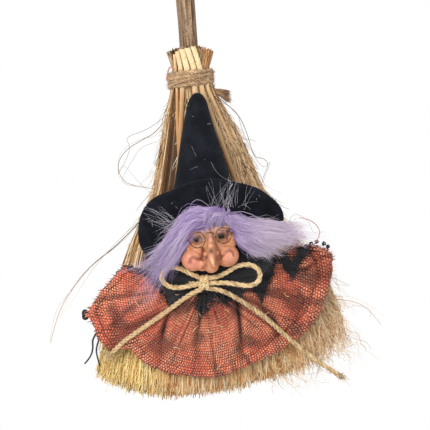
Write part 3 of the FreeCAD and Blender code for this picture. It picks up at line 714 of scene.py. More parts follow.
def make_straw(look):
    # painted shade: the core tube inside the fan is coloured dark brown for the shade between the stalks
    dark = straw_finish("shaded_straw_core", ((0.2, "3b2413"), (0.6, "6f4825"), (0.9, "8d6235")), 0.9)
    stalks = straw_finish(
        "broom_straw",
        ((0.12, look.straw_dark), (0.34, look.straw), (0.56, "e8bd84"), (0.8, look.straw_light)),
    )

    def core(turn, share):
        rank = 0.86 - 0.16 * max(0.0, math.cos(turn)) ** 2
        end = fan_end(rank * math.cos(turn)) - 9
        drop = -18 + (end + 18) * min(1.0, max(0.0, (share - 0.04) / 0.92))
        if share < 0.04:
            rank *= share / 0.04
        if share > 0.96:
            rank *= (1 - share) / 0.04
        return fan_place(turn, rank * (1 + 0.05 * wobble(turn * 9, drop * 0.01)), drop)

    straw_nodes = [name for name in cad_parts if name.startswith("straw_")]
    piece("shaded_straw_core", tube_mesh(120, 60, core), dark, straw_nodes)

    for name, low in (("straw_front", 0.0), ("straw_back", math.pi)):
        routes = []
        for _ in range(look.stalks):
            turn = math.acos(random.uniform(-1, 1)) + low
            share = math.cos(turn)
            rank = random.choice((random.uniform(0.84, 1.0), random.uniform(0.93, 1.01)))
            if low == 0 and -0.85 < share < 0.62:
                rank = min(rank, 0.94)
            right = max(0.0, share - 0.6) / 0.4
            end = fan_end(rank * share) + random.gauss(0, 1.6) - 85 * right * random.random()
            # painted shade: stalks further in, a few at random and those in the parting gaps get darker
            extra_depth_shade = 0.9 * (random.random() < 0.2) * random.random()
            depth = (1.0 - rank) * 4 + 0.35 * wobble(turn * 14) + extra_depth_shade
            gaps = [often for left, right_end, often in DARK_GAPS if left < share < right_end]
            if random.random() < (gaps[0] if gaps else 0.1):
                depth, rank = 1.0, min(rank, 0.92)
            thick = random.uniform(0.15, 0.34) + (0.2 if random.random() < 0.1 else 0)
            start = -22.6 + (2.0 if share < 0 else 3.2) * share**2 + random.gauss(0, 0.8)
            line, radii = stalk(turn, rank, start, end, thick, 10)
            line[0] += (random.gauss(0.0, 0.6), random.gauss(0, 0.4), 0)
            depth = min(1.0, max(0.0, depth))
            routes.append(Strand(line, radii, random.random(), depth))
        piece(name, strands(routes), stalks)

    for name, low in (("straw_tips_front", 0.0), ("straw_tips_back", math.pi)):
        routes = []
        for _ in range(look.tips):
            turn = math.acos(random.uniform(-1.0, 1.0)) + low
            rank = random.choice((random.uniform(0.55, 0.99), random.uniform(0.9, 1.01)))
            right = max(0.0, math.cos(turn) - 0.6) / 0.4
            full = fan_end(rank * math.cos(turn))
            end = full + random.gauss(-1.0, 1.9) - 70 * right * random.random()
            start = full * random.choice((random.uniform(0.02, 0.5), random.uniform(0.4, 0.75)))
            if low == 0 and (-0.87 < math.cos(turn) < -0.57 or 0.42 < math.cos(turn) < 0.6):
                start = full * random.uniform(0.6, 0.8)
            left = 0.12 * (math.cos(turn) < -0.25)
            thick = random.choice((random.uniform(0.12, 0.24), random.uniform(0.2, 0.3) + left))
            line, radii = stalk(turn, rank, start, end, thick, 7, 1.4)
            # tips further inside the fan get more painted shade
            routes.append(Strand(line, radii, random.random(), min(1.0, max(0.0, (0.96 - rank) * 3.0))))
        piece(name, strands(routes), stalks)

    routes = []
    for _ in range(look.inner_stalks):
        turn, rank = random.uniform(0, FULL_TURN), random.uniform(0.0, 0.7)
        end = fan_end(rank * math.cos(turn)) - abs(random.gauss(0, 2.5))
        line, radii = stalk(turn, rank, end * 0.8, end, random.uniform(0.25, 0.45), 4)
        routes.append(Strand(line, radii, random.random(), 0.4))
    piece("straw_cut_ends", strands(routes), stalks)
    piece("straw_frizz", strands(frizz(look.frizz)), stalks)
    piece("straw_surface", strands(surface_fibres(look.surface)), stalks)


def surface_fibres(many):
    """Short bent fibres that lie on the front of the straw and cross it at small angles."""
    routes = []
    for _ in range(many):
        share = random.uniform(-1.0, 1.0)
        turn, drop = math.acos(share), random.choice((random.uniform(4, 72), random.uniform(105, 172)))
        if drop < 80 and -0.89 < share < -0.55:
            continue
        start = np.array(fan_place(turn, 1.03, drop))
        along = np.array(fan_place(turn, 1.03, drop + 6)) - start
        along /= np.linalg.norm(along)
        lean, seed = random.gauss(0, 0.3), random.uniform(0, 1000)
        heading = along + np.array((lean * -along[2], 0, lean * along[0]))
        long = min(random.uniform(4, 15), (fan_end(share) + 3 - drop))
        if long < 2:
            continue
        points = []
        for k in range(6):
            t = k / 5
            at = t * 2.5
            bend = np.array((wobble(seed, at), -abs(wobble(seed, at, 3)) * 0.5, wobble(seed, at, 6)))
            points.append(start + heading * long * t + bend * (4.2 if share > 0.3 else 2.2) * t)
        thick = random.uniform(0.1, 0.25)
        tone = random.choice((random.uniform(0.0, 0.3), random.uniform(0.5, 1.0), random.uniform(0.7, 1.0)))
        routes.append(tapered(points, thick, thick * 0.4, tone, 0.7 * (tone < 0.2)))
    return routes


def frizz(many):
    """Curly loose fibres: a tangle down the right side, a fringe up both edges, and some at the cut ends."""
    routes = []
    for _ in range(many):
        kind = random.random()
        tangled = kind < 0.62
        if tangled:
            share, low, high = random.uniform(0.35, 1.0), 0.5, 0.97
            step, curl = (0.7, 1.7), (1.8, 4.2)
        elif kind < 0.86:
            share, low, high = random.choice((-1, 1)) * random.uniform(0.85, 1.0), 0.03, 0.55
            step, curl = (0.25, 0.8), (0.8, 2.4)
        else:
            share, low, high = random.uniform(-1.0, 0.8), 0.86, 0.99
            step, curl = (0.4, 1.2), (0.6, 1.8)
        turn = math.acos(share) * random.choice((1, 1, -1))
        drop = random.uniform(low, high) * fan_end(share)
        start = np.array(fan_place(turn, random.uniform(0.9, 1.02), drop))
        heading = start - np.array(fan_place(turn, 1.0, drop - 12))
        heading /= np.linalg.norm(heading)
        outward = np.array((math.copysign(1.0, share), -0.25, -0.15))
        heading = heading * random.uniform(0.5, 1.2) + outward * random.uniform(0.0, 0.7)
        seed, step, curl = random.uniform(0, 1000), random.uniform(*step), random.uniform(*curl)
        bendy = 0.46 if tangled else 0.3
        points = [start]
        for k in range(12 if tangled else 8):
            at = k * bendy
            turned = Vector((wobble(seed, at), 0.3 * wobble(seed, at, 3), wobble(seed, at, 7)))
            points.append(points[-1] + (heading + np.array(turned) * curl) * step)
        points = np.array(points)
        points[:, 1] = np.clip(points[:, 1], -17.5, 14.5)
        points[:, 2] = np.clip(points[:, 2], -384.0, 0)
        points[:, 0] = np.clip(points[:, 0], -92, 101)
        thick = random.uniform(0.1, 0.24) if tangled else random.uniform(0.07, 0.16)
        routes.append(tapered(points, thick, thick * 0.45, random.uniform(0.0, 1.0)))
    return routes


def make_reeds(look):
    """Flat split reeds down the front of the broom. Their tops lean left above the binding."""
    bm = bmesh.new()
    for across, wide, lean, top, slope, low in REEDS:
        ring = bmesh.ops.create_circle(bm, segments=10, radius=1)["verts"]
        edges = list(dict.fromkeys(e for vertex in ring for e in vertex.link_edges))
        last = None
        for z in np.linspace(top, NECK_FOOT - low, 26):
            drop = NECK_FOOT - z
            x = across + slope * max(0.0, drop) + 0.3 * wobble(across, z * 0.03)
            x += lean * max(0.0, (z - NECK_TOP) / (STUB_TOP - NECK_TOP))
            middle_x, half = fan_width(drop)
            round_off = math.sqrt(max(0.05, 1 - ((x - middle_x) / (half + 1)) ** 2))
            drops, ahead, _ = zip(*FAN_DEPTHS)
            y = -np.interp(drop, drops, ahead) * round_off
            middle = Vector((x, y - 1.15, z)) * MM
            if last is None:
                bmesh.ops.scale(bm, vec=(wide / 2 * MM, 0.75 * MM, 1), verts=ring)
                bmesh.ops.translate(bm, vec=middle, verts=ring)
                bmesh.ops.contextual_create(bm, geom=edges)
            else:
                made = bmesh.ops.extrude_edge_only(bm, edges=edges)["geom"]
                ring = [part for part in made if isinstance(part, bmesh.types.BMVert)]
                edges = [part for part in made if isinstance(part, bmesh.types.BMEdge)]
                bmesh.ops.translate(bm, vec=middle - last, verts=ring)
                if drop > low * 0.6:
                    bmesh.ops.scale(bm, vec=(0.87, 1, 1), space=Matrix.Translation(-middle), verts=ring)
            last = middle
        bmesh.ops.contextual_create(bm, geom=edges)
    bmesh.ops.recalc_face_normals(bm, faces=bm.faces)
    piece("split_reeds", to_mesh(bm), reed_finish(look), ["reed_stems_left", "reed_stems_right"])


def make_binding(look):
    """Jute wound four times round the neck, its frayed tail, and a scrap of red thread caught under it."""
    brown = jute_finish("binding_jute", "7f6042", look.binding, "e2c497")
    turns, radius = 4.3, 1.35
    points = []
    for k in range(int(turns * 40)):
        turn = FULL_TURN * k / 40 - 0.6
        layer = k / (turns * 40)
        z = BINDING_Z - 5.3 + 9.4 * layer + 0.9 * wobble(math.cos(turn), math.sin(turn), layer * 6)
        out = NECK_RADIUS + radius + 0.25 * wobble(turn, 0, 3)
        points.append((out * math.cos(turn), out * math.sin(turn), z))
    points.append((points[-1][0], points[-1][1] * 0.7 - 1, points[-1][2] + 0.5))
    line = np.array(points)
    cross = []
    for k in range(26):
        turn = math.radians(-150 + 4.6 * k)
        out = NECK_RADIUS + 3.2
        cross.append((out * math.cos(turn), out * math.sin(turn), BINDING_Z - 3.4 + 5.4 * k / 25))
    routes = rope(line, radius) + rope(np.array(cross), 0.8, 2, 5.0)
    piece("binding_turns", strands(routes, 6), brown, ["binding_twine"])

    tuft = []
    root = np.array((12.6, -4.0, -206.2))
    for _ in range(260):
        spread = np.array((random.gauss(0, 0.07), random.uniform(-0.2, 0.2), random.uniform(-0.34, 0.34)))
        heading = np.array((0.9, -0.05, -0.44)) + spread
        long = random.uniform(8.4, 10.0)
        bend = np.array((0, 0, -0.03)) * long**1.2
        start = root + spread * 1.5
        points = np.array([start, start + heading * long * 0.5, start + heading * long + bend])
        tuft.append(Strand(points, (0.18, 0.16, 0.06), random.random()))
    dark = jute_finish("frayed_jute", "7c5535", "a57a50", "cba274")
    piece("binding_brush", strands(tuft), dark, ["binding_tail"])
    piece("binding_fuzz", strands(fuzz(line, radius, 4.0, 2.4)), brown)

    red = plain_finish("red_thread", "bd7465", "d99a88")
    threads = [tapered(smoothed(route), thick, thick, 0.5) for route, thick in RED_ROUTES]
    piece("red_threads", strands(threads, 5), red)


STRAY_ROUTES = (
    [(-15.5, -2, -221.0), (-21.5, -3, -228.5), (-31.0, -4, -232.5), (-41.0, -4, -238.0), (-45.6, -4, -246.5),
     (-42.5, -4, -255.0), (-34.5, -3, -258.8), (-24.0, -2, -260.6)],
    [(-33.0, -2, -277.0), (-47.0, -3, -290.5), (-63.0, -3, -300.5), (-76.0, -3, -314.0), (-85.5, -3, -329.0),
     (-90.0, -3, -344.0)],
    [(70.0, -2, -330.0), (82.0, -3, -331.0), (93.0, -3, -337.0), (99.0, -3, -347.0)],
    [(14.5, -6, -210.5), (24.8, -7, -219.4), (29.6, -8, -230.3), (32.9, -8, -246.7), (38.4, -8, -247.1),
     (41.3, -8, -251.0), (37.8, -8, -257.0), (36.1, -8, -262.4)],
)


def make_stray_fibres():
    """Long single fibres that have sprung out of the broom, with thinner ones beside them."""
    grey = straw_finish("stray_fibre", ((0.2, "7d6450"), (0.8, "c9b48f")), right_highlight=0.0)
    routes = []
    for route in STRAY_ROUTES:
        for k in range(4 if route[0][0] < 0 else 2):
            drift = k * np.array([[random.gauss(0, far) for far in (1.7, 0.6, 1.9)] for _ in route])
            drift[0] *= 0.3
            line = smoothed(list(np.array(route) + drift))
            line[:, 0] = np.clip(line[:, 0], -98, 108)
            thick = 0.22 if k == 0 else random.uniform(0.08, 0.16)
            routes.append(tapered(line, thick, thick * 0.5, random.random()))
    piece("sprung_fibres", strands(routes, 4), grey, ["stray_fibres"])


# ---------------------------------------------------------------- hat

BRIM_MIDDLE = Vector((6.0, -31.0, -284.0))
BRIM_TILT = math.radians(31)
BRIM_AHEAD = Vector((0, -math.cos(BRIM_TILT), -math.sin(BRIM_TILT)))
BRIM_UP = Vector((0, -math.sin(BRIM_TILT), math.cos(BRIM_TILT)))
FELT = 1.6
BRIM_EDGE = (  # degrees round the brim from the right, and reach from its middle
    (4, 41.4), (12, 42.0), (24, 38.6), (37, 36.6), (61, 31.1), (93, 29.8), (129, 30.4), (151, 37.6),
    (166, 40.4), (179, 41.2), (199, 43.0), (213, 39.1), (241, 30.9), (280, 28.4), (322, 35.6), (343, 39.8),
)
LONG_LINT = (  # routes of the longest fibres caught on the hat, and their radii
    ([(8.3, -29.6, -247.6), (10.2, -31.0, -252.4), (13.4, -30.8, -256.2), (17.0, -28.0, -258.4)], 0.06),
    ([(-2.0, -26.6, -238.0), (-0.8, -27.8, -240.6), (0.2, -28.8, -244.0)], 0.04),
    ([(-3.8, -29.6, -251.4), (-2.6, -30.2, -250.2), (0.6, -30.8, -249.9)], 0.055),
    ([(17.4, -45.5, -257.6), (17.6, -46.2, -259.6), (18.8, -45.8, -258.6), (18.2, -46.4, -260.8)], 0.1),
    ([(17.4, -45.2, -264.0), (18.6, -46.0, -262.2), (19.6, -46.6, -260.8)], 0.25),
)


def cone_place(turn, share, inside=0.0):
    """A point on the hat's cone, from its tip at share 0 to its foot at 1, or that much inside it."""
    tip, foot, dome = -209.2, -287.0, 6.0
    z = tip + (foot - tip) * share**1.35
    grown = max(0.0, (-211.8 - z) / 72)
    wide, deep = 3.5 + 16.9 * grown, 3.2 + 8.9 * grown
    rounded = math.sqrt(max(0.0, 1 - max(0.0, 1 - (tip - z) / dome) ** 2))
    dent = 1 + 0.045 * wobble(math.cos(turn), math.sin(turn), z * 0.035)
    lean = 0.7 * math.sin((z + 208) * 0.06)
    x = 3.1 + lean + (wide - inside) * rounded * dent * math.cos(turn)
    y = -12.6 - deep - (deep - inside) * rounded * dent * math.sin(turn)
    return x, min(y, -12.4), z - inside * (1 - rounded)


def brim_place(turn, share):
    """A point on the felt brim: its front from the middle to the rim, round the rim, and back behind."""
    front = min(1.0, share / 0.45)
    behind = min(1.0, (1 - share) / 0.45)
    out = min(front, behind)
    over = math.pi * (min(0.55, max(0.45, share)) - 0.45) / 0.10
    c, s = math.cos(turn), math.sin(turn)
    degrees = [math.degrees(turn) + step for step in (-8, -4, 0, 4, 8)]
    reach = float(np.mean(np.interp(degrees, *zip(*BRIM_EDGE), period=360))) - 1.0
    across, up = c * (reach * out + math.sin(over)), s * (reach * out + math.sin(over))
    wave = 1.2 * math.sin(2 * turn + 0.7) * out**2 + 0.8 * wobble(c * 1.5, s * 1.5, out) * out
    droop = -2.2 * max(0.0, -c) ** 2 * out**3
    place = BRIM_MIDDLE + Vector((across, 0, 0)) + BRIM_UP * up
    return place + BRIM_AHEAD * (math.cos(over) * 1.0 - 1.0 + wave + droop)


def make_hat(look):
    felt = felt_finish(look)
    piece("felt_cone", with_modifiers(
        tube_mesh(96, 64, cone_place),
        ("SOLIDIFY", {"thickness": FELT * MM, "offset": -1.0}),
    ), felt, ["hat_cone"])
    piece("felt_brim", tube_mesh(160, 60, brim_place), felt, ["hat_brim"])
    routes = []
    for _ in range(look.felt_fibres):
        turn = random.uniform(0, FULL_TURN)
        if random.random() < 0.5:
            share = random.uniform(0.02, 0.9)
            root, more = Vector(cone_place(turn, share)), Vector(cone_place(turn, share, -1.0))
        else:
            share = random.uniform(0.1, 0.55)
            root = brim_place(turn, share)
            more = root + BRIM_AHEAD * 0.7 + Vector((math.cos(turn), 0, math.sin(turn))) * 0.6
        out = (more - root).normalized()
        aside = Vector((random.gauss(0, 0.6), random.gauss(0, 0.6), random.gauss(0, 0.6)))
        long = random.uniform(0.4, 1.3)
        points = [root, root + (out + aside * 0.4) * long * 0.5, root + (out * 0.7 + aside) * long]
        routes.append(Strand(np.array(points), (0.06, 0.05, 0.015), random.random()))
    dark = plain_finish("felt_fuzz", "16181c", "33363d")
    piece("felt_fuzz", strands(routes), dark)
    lint = plain_finish("lint", "b9b6b4", "e6e2dc")
    routes = []
    for _ in range(look.lint):
        turn = random.uniform(0.15, 0.85) * math.pi
        if random.random() < 0.45:
            root = Vector(cone_place(turn, random.uniform(0.2, 0.9), -0.5))
        else:
            root = brim_place(random.uniform(0, FULL_TURN), random.uniform(0.25, 0.44)) + BRIM_AHEAD * 0.4
        bend = Vector((random.gauss(0, 1), -0.15, random.gauss(0, 1)))
        turn_to = Vector((random.gauss(0, 1), -0.15, random.gauss(0, 1)))
        long = random.uniform(0.6, 2.8)
        points = [root, root + bend * long * 0.5, root + bend * long * 0.5 + turn_to * long * 0.6]
        line = smoothed(points, 3)
        routes.append(tapered(line, 0.08, 0.08, random.random()))
    for route, thick in LONG_LINT:
        line = smoothed(route, 5)
        routes.append(tapered(line, thick, thick, random.random()))
    piece("lint", strands(routes), lint)


# ---------------------------------------------------------------- head

HEAD = Vector((4.9, -40.0, -293.0))
FACE_ROLL = math.radians(6)


def on_head(x, ahead, up):
    """A point right of, ahead of and above the middle of the head, which is rolled to one side."""
    c, s = math.cos(FACE_ROLL), math.sin(FACE_ROLL)
    return HEAD + Vector((x * c - up * s, -ahead, x * s + up * c))


LUMPS = (  # middle and radii, each as right, ahead, up
    ((-0.8, 0.0, 1.0), (15.6, 15.6, 15.6)),
    ((-10.9, 8.7, -7.6), (6.8, 6.7, 6.7)),
    ((8.0, 8.9, -8.6), (6.8, 6.6, 6.5)),
    ((-1.6, 11.0, -12.6), (4.3, 4.6, 4.4)),
    ((-6.2, 9.8, -10.9), (4.7, 4.8, 4.2)),
    ((-1.2, 12.0, -9.6), (5.0, 4.4, 4.2)),
    ((0.7, 13.6, 4.2), (2.1, 2.8, 3.2)),
    ((0.5, 15.4, 1.2), (2.1, 2.8, 3.0)),
    ((0.1, 17.1, -1.9), (2.4, 3.0, 2.9)),
    ((-0.3, 18.7, -4.7), (2.6, 3.0, 2.5)),
    ((-0.5, 20.1, -7.1), (2.0, 2.4, 2.4)),
    ((-0.5, 21.2, -9.3), (1.45, 1.9, 2.2)),
    ((-0.45, 21.9, -11.2), (1.0, 1.4, 1.9)),
    ((-0.4, 22.3, -12.9), (0.65, 0.9, 1.5)),
    ((-3.2, 15.8, -5.8), (1.9, 2.6, 1.7)),
    ((2.3, 15.8, -6.2), (1.9, 2.6, 1.7)),
    ((-6.9, 11.6, 6.9), (4.4, 3.0, 1.7)),
    ((7.8, 11.8, 6.9), (4.6, 3.2, 2.0)),
    ((-6.6, 11.5, 2.9), (3.3, 2.6, 2.4)),
    ((6.6, 11.9, 2.6), (3.4, 2.6, 2.4)),
    ((-6.6, 12.9, 4.6), (3.0, 2.1, 1.3)),
    ((6.6, 13.3, 4.4), (3.1, 2.1, 1.3)),
    ((-6.6, 12.6, 0.7), (2.7, 1.9, 1.1)),
    ((6.6, 13.0, 0.5), (2.8, 1.9, 1.1)),
    ((-12.6, 6.8, 0.0), (3.0, 5.0, 5.0)),
    ((11.6, 7.6, 0.0), (3.2, 5.0, 5.2)),
    ((-0.7, 20.9, -4.6), (1.25, 1.4, 1.2)),
)
EYES = ((-6.6, 12.4, 2.7), (6.6, 12.8, 2.4))  # their middles, as right, ahead, up
# each crease is sunk into the face and darkened with painted shade
CREASES = (  # points as right and up, then how deep and how wide
    (((-4.9, -2.6), (-4.6, -5.0), (-4.6, -8.0)), 1.5, 0.75),
    (((-4.8, -8.2), (-7.8, -7.9), (-10.5, -6.3), (-12.6, -7.4), (-13.3, -9.4)), 1.1, 0.75),
    (((4.2, -8.9), (5.8, -8.2), (8.0, -6.0), (10.6, -5.7), (12.2, -7.2), (12.2, -9.2)), 0.9, 0.7),
    (((3.0, -1.0), (3.5, -6.0), (3.4, -10.5)), 0.9, 0.8),
    (((-10.2, 3.4), (-8.2, 4.9), (-5.2, 4.6), (-3.6, 3.2)), 0.7, 0.6),
    (((3.4, 3.0), (5.4, 4.8), (8.4, 4.8), (10.6, 3.0)), 0.7, 0.6),
    (((-9.6, 0.8), (-7.0, -0.5), (-4.2, 0.6)), 0.7, 0.7),
    (((3.8, 0.4), (6.8, -0.6), (9.8, 0.6)), 0.7, 0.7),
    (((-6.2, -14.2), (-4.6, -12.0), (-4.4, -10.2)), 0.8, 0.8),
    (((3.0, -14.6), (2.2, -12.2), (2.6, -10.4)), 0.8, 0.8),
    (((-9.0, 9.0), (-3.0, 9.6), (3.0, 9.4), (9.0, 9.0)), 0.4, 0.6),
    (((-1.8, 6.0), (-1.4, 8.4)), 0.5, 0.5),
    (((2.0, 6.0), (1.6, 8.4)), 0.5, 0.5),
)


def near_line(x, up, line):
    """How far places are from a line of points, and how far along it, from 0 to 1, they are nearest."""
    nearest, share = np.full(len(x), 1e9), np.zeros(len(x))
    for k, ((x0, z0), (x1, z1)) in enumerate(zip(line, line[1:])):
        dx, dz = x1 - x0, z1 - z0
        along = np.clip(((x - x0) * dx + (up - z0) * dz) / (dx * dx + dz * dz), 0, 1)
        away = np.hypot(x - x0 - along * dx, up - z0 - along * dz)
        share = np.where(away < nearest, (k + along) / (len(line) - 1), share)
        nearest = np.minimum(nearest, away)
    return nearest, share


def bell(distance, width):
    return np.exp(-((distance / width) ** 2))


def make_face(look):
    """A moulded doll's face: lumps run together by a remesh, then creased."""
    bm = bmesh.new()
    for (x, ahead, up), radii in LUMPS:
        lump(bm, on_head(x, ahead, up), radii, -FACE_ROLL)
    whole = run_together(bm, 0.34, 7)
    bm = bmesh.new()
    bm.from_mesh(whole)
    back = (BRIM_MIDDLE + BRIM_AHEAD * 1.2) * MM
    parts = list(bm.verts) + list(bm.edges) + list(bm.faces)
    cut = bmesh.ops.bisect_plane(bm, geom=parts, plane_co=back, plane_no=-BRIM_AHEAD, clear_outer=True)
    rim = [part for part in cut["geom_cut"] if isinstance(part, bmesh.types.BMEdge)]
    bmesh.ops.holes_fill(bm, edges=rim)
    mesh = to_mesh(bm)

    places = np.array([v.co for v in mesh.vertices]) / MM - np.array(HEAD)
    normals = np.array([v.normal for v in mesh.vertices])
    c, s = math.cos(FACE_ROLL), math.sin(FACE_ROLL)
    x, up = places[:, 0] * c + places[:, 2] * s, places[:, 2] * c - places[:, 0] * s
    ahead = -places[:, 1]
    facing = np.clip(-normals[:, 1] * 1.6, 0, 1)
    # dark gathers each point's painted shade
    sunk, dark = np.zeros(len(x)), np.zeros(len(x))
    for line, deep, wide in CREASES:
        near = bell(near_line(x, up, line)[0], wide * 1.3) * facing * (ahead < 17.2)
        sunk += near * deep
        dark = np.maximum(dark, near * min(0.8, deep * 0.5))
    places += np.array(HEAD)
    places -= normals * sunk[:, None]
    mesh.vertices.foreach_set("co", (places * MM).ravel())

    def spot(right, height, wide, stretch=1.0):
        return bell(np.hypot((x - right) / stretch, up - height), wide)

    blush = np.maximum(spot(-12.0, -9.0, 5.2), 0.8 * spot(9.2, -10.0, 4.6))
    # painted highlight: lighter paint on the nose tip and the right cheek
    highlights_and_patches = 0.8 * spot(-0.5, -10.5, 2.4) * (ahead > 19) + 0.5 * spot(10.5, -9.6, 1.4)
    wart = spot(-0.3, -4.6, 1.6) * (ahead > 18)
    # painted shade: the eye sockets and the sides of the nose tip are darkened along with the creases
    sockets = np.maximum(spot(-6.6, 3.0, 3.0, 1.2), spot(6.8, 2.8, 3.2, 1.3))
    beside_nose = bell(np.hypot((x + 0.5) / 3.4, (up + 9.8) / 4.2), 1.0) * (ahead < 18.6)
    dark = np.maximum(np.maximum(dark, 0.98 * sockets * facing), 0.42 * beside_nose * facing)
    for name, values in (("blush", blush * facing * 0.8), ("highlights_and_patches", highlights_and_patches), ("wart", wart), ("painted_shade", dark)):
        mark(mesh, name, values)
    mesh.update()
    piece("moulded_face", mesh, skin_finish(look), ["face"])

    bm = bmesh.new()
    for x, ahead, up in EYES:
        made = bmesh.ops.create_uvsphere(bm, u_segments=32, v_segments=20, radius=2.2 * MM)["verts"]
        bmesh.ops.translate(bm, vec=on_head(x, ahead, up) * MM, verts=made)
    eyes = to_mesh(bm)
    iris = []
    for vertex in eyes.vertices:
        place = Vector(vertex.co) / MM
        side, _, height = EYES[0 if place.x < HEAD.x else 1]
        middle = on_head(side, 14.6, height)
        iris.append(float(bell((place - middle).length, 2.4)))
    mark(eyes, "iris", iris)
    piece("eyes", eyes, eye_finish())


HAIR_GUIDES = (  # root, two places on the way and tip, from the left lock over the forehead to the right lock
    ((6, -50, -283), (-5, -54, -288), (-13, -52, -298.5), (-22, -50, -308)),
    ((9, -51, -282), (-4, -55, -284), (-14, -53, -296), (-26, -50, -314)),
    ((9, -51, -281), (-5.5, -56, -281.5), (-16, -52, -294.5), (-33.5, -46, -318)),
    ((9, -51, -280), (-6.5, -56, -279), (-17, -51, -291), (-36, -42, -307)),
    ((9, -51, -278.5), (-6.5, -56, -276.5), (-14.5, -51, -286.5), (-28, -43, -300)),
    ((10, -52, -277.5), (-4, -56, -275.3), (-10.5, -53, -281), (-18, -48, -289)),
    ((12, -52, -278), (2, -56, -275.5), (-4, -55, -279.3), (-8, -52, -285)),
    ((12, -52, -277.5), (7, -56, -275.5), (3, -56, -279.5), (0, -54, -286)),
    ((13, -52, -278.5), (13, -56, -277.5), (12, -56, -280.8), (11, -54, -284.5)),
    ((13, -52, -280), (18, -56, -281), (23, -54, -283), (27, -52, -286)),
    ((13, -52, -280), (26, -55, -281.5), (40, -51, -284.5), (54, -46, -288)),
    ((14, -52, -281), (28, -55, -284.5), (44, -51, -287.5), (62, -45, -292.5)),
    ((16, -50, -283), (28, -54, -288), (42, -50, -292), (57, -44, -295.5)),
    ((18, -49, -286), (27, -53, -291.5), (36, -48, -296), (46, -43, -299.5)),
    ((19, -48, -290), (23, -51, -295), (28, -47, -299.5), (35, -42, -303)),
)


def tuft_of_hair(along, layer, many):
    """Hairs that leave the skin side by side and run together at their tips, as wisps of a pile do.

    Along is a place over the guides from 0 to 1, and layer runs from the skin, 0, to the top of the pile, 1.
    """
    place = along * (len(HAIR_GUIDES) - 1)
    first = min(int(place), len(HAIR_GUIDES) - 2)
    root, crown, bend, tip = (
        Vector(a).lerp(Vector(b), place - first) for a, b in zip(HAIR_GUIDES[first], HAIR_GUIDES[first + 1])
    )
    crown += Vector((0, 6.0 * (1 - layer), -2.5 * (1 - layer))) + some(0.7)
    bend += Vector((0, 5.0 * (1 - layer), -1.0 * (1 - layer))) + some(1.0)
    tip += Vector((0, 4.0 * (1 - layer), 0)) + some(2.4)
    seed, reach = random.uniform(0, 1000), random.uniform(0.62, 1.06)
    # hairs nearer the skin are darker violet: partly the pile's own tones, partly painted shade between the
    # hairs
    tone = 0.18 + 0.5 * layer + random.gauss(0, 0.18)
    routes = []
    for _ in range(many):
        loose = random.choice((1.0, 1.0, 1.0, 1.0, 1.0, 2.2)) if random.random() < 0.985 else 3.4
        ways = (
            root + some(1.0), crown + some(0.7 * loose), bend + some(0.8 * loose), tip + some(0.9 * loose)
        )
        hair_seed, short = random.uniform(0, 1000), reach * random.uniform(0.78, 1.06)
        points = []
        for k in range(8):
            t = k / 7 * short
            a, b, c, d = t, t - 1 / 3, t - 2 / 3, t - 1
            shares = (-4.5 * b * c * d, 13.5 * a * c * d, -13.5 * a * b * d, 4.5 * a * b * c)
            point = sum((way * share for way, share in zip(ways, shares)), Vector())
            kink = [
                wobble(seed, t * 2.2, axis) * 1.1 + wobble(hair_seed, t * 3.0, axis) * 0.8
                for axis in (0, 4, 8)
            ]
            points.append(point + Vector(kink) * t)
        thick = random.uniform(0.075, 0.16)
        radii = thick * np.array((0.8, 1.0, 1.0, 1.0, 0.9, 0.75, 0.5, 0.12))
        routes.append(Strand(np.array(points), radii, min(1.0, max(0.0, tone + random.gauss(0, 0.16)))))
    return routes


def some(far):
    """A random step of about this far in each direction."""
    return Vector((random.gauss(0, far), random.gauss(0, far * 0.6), random.gauss(0, far)))


def make_hair(look):
    violet = hair_finish(look)
    sections = (
        ("pile_fringe", 0.3, 0.7, "hair_fringe"),
        ("pile_left", 0.0, 0.36, "hair_left"),
        ("pile_right", 0.64, 1.0, "hair_right"),
    )
    for name, low, high, node in sections:
        routes = []
        for _ in range(look.tufts):
            routes += tuft_of_hair(random.uniform(low, high), random.random(), look.hairs)
        piece(name, strands(routes), violet, [node])

    bm = bmesh.new()
    for middle, radii, lean in (
        ((4, -42.0, -281.0), (13, 8, 6.0), 4),
        ((-11, -42.5, -288), (5.0, 5.0, 11), 40),
        ((20, -42.5, -285), (9, 5.0, 6.0), 30),
        ((28, -42.5, -288.5), (13, 4.0, 4.5), 16),
    ):
        lump(bm, Vector(middle), radii, math.radians(lean))
    under = run_together(bm, 0.8, 10)
    skin = plain_finish("under_pile", "7a5f9c", "9b82b8", 0.8)
    piece("hair_under", under, skin, ["fur_backing"])

    routes = []
    areas = [face.area for face in under.polygons]
    for face in random.choices(under.polygons, weights=areas, k=look.short_hairs):
        root, out = face.center / MM, face.normal.copy()
        back = Vector((0.5 * math.copysign(1, out.x), 0.5, -0.6))
        long = random.uniform(2.5, 5.5)
        middle = root + (out * 0.7 + back * 0.3) * long * 0.5 + some(0.4)
        points = [root - out * 0.3, middle, root + (out * 0.5 + back) * long]
        routes.append(Strand(np.array(points), (0.13, 0.12, 0.03), random.uniform(0.0, 0.7)))
    piece("pile_short", strands(routes), violet)

    routes = []
    for _ in range(look.wisps):
        left = random.random() < 0.34
        middle, spread = (Vector((-15, -50, -281)), (3, 3)) if left else (Vector((13, -51, -273)), (6, 1.5))
        root = middle + Vector((random.gauss(0, spread[0]), 0, random.gauss(0, spread[1])))
        toward = Vector((-13, 1, 6)) if left else Vector((3, 0, 12))
        reach = toward * random.uniform(0.5, 1.25) + Vector((random.gauss(0, 4.0), 0, random.gauss(0, 2.5)))
        line = smoothed([root, root + reach * 0.5 + some(1.3), root + reach])
        routes.append(tapered(line, 0.05, 0.02, random.uniform(0.5, 1)))
    piece("hair_wisps", strands(routes), plain_finish("white_hair", "cfc5d6", "f2eef4"))


# ---------------------------------------------------------------- cape

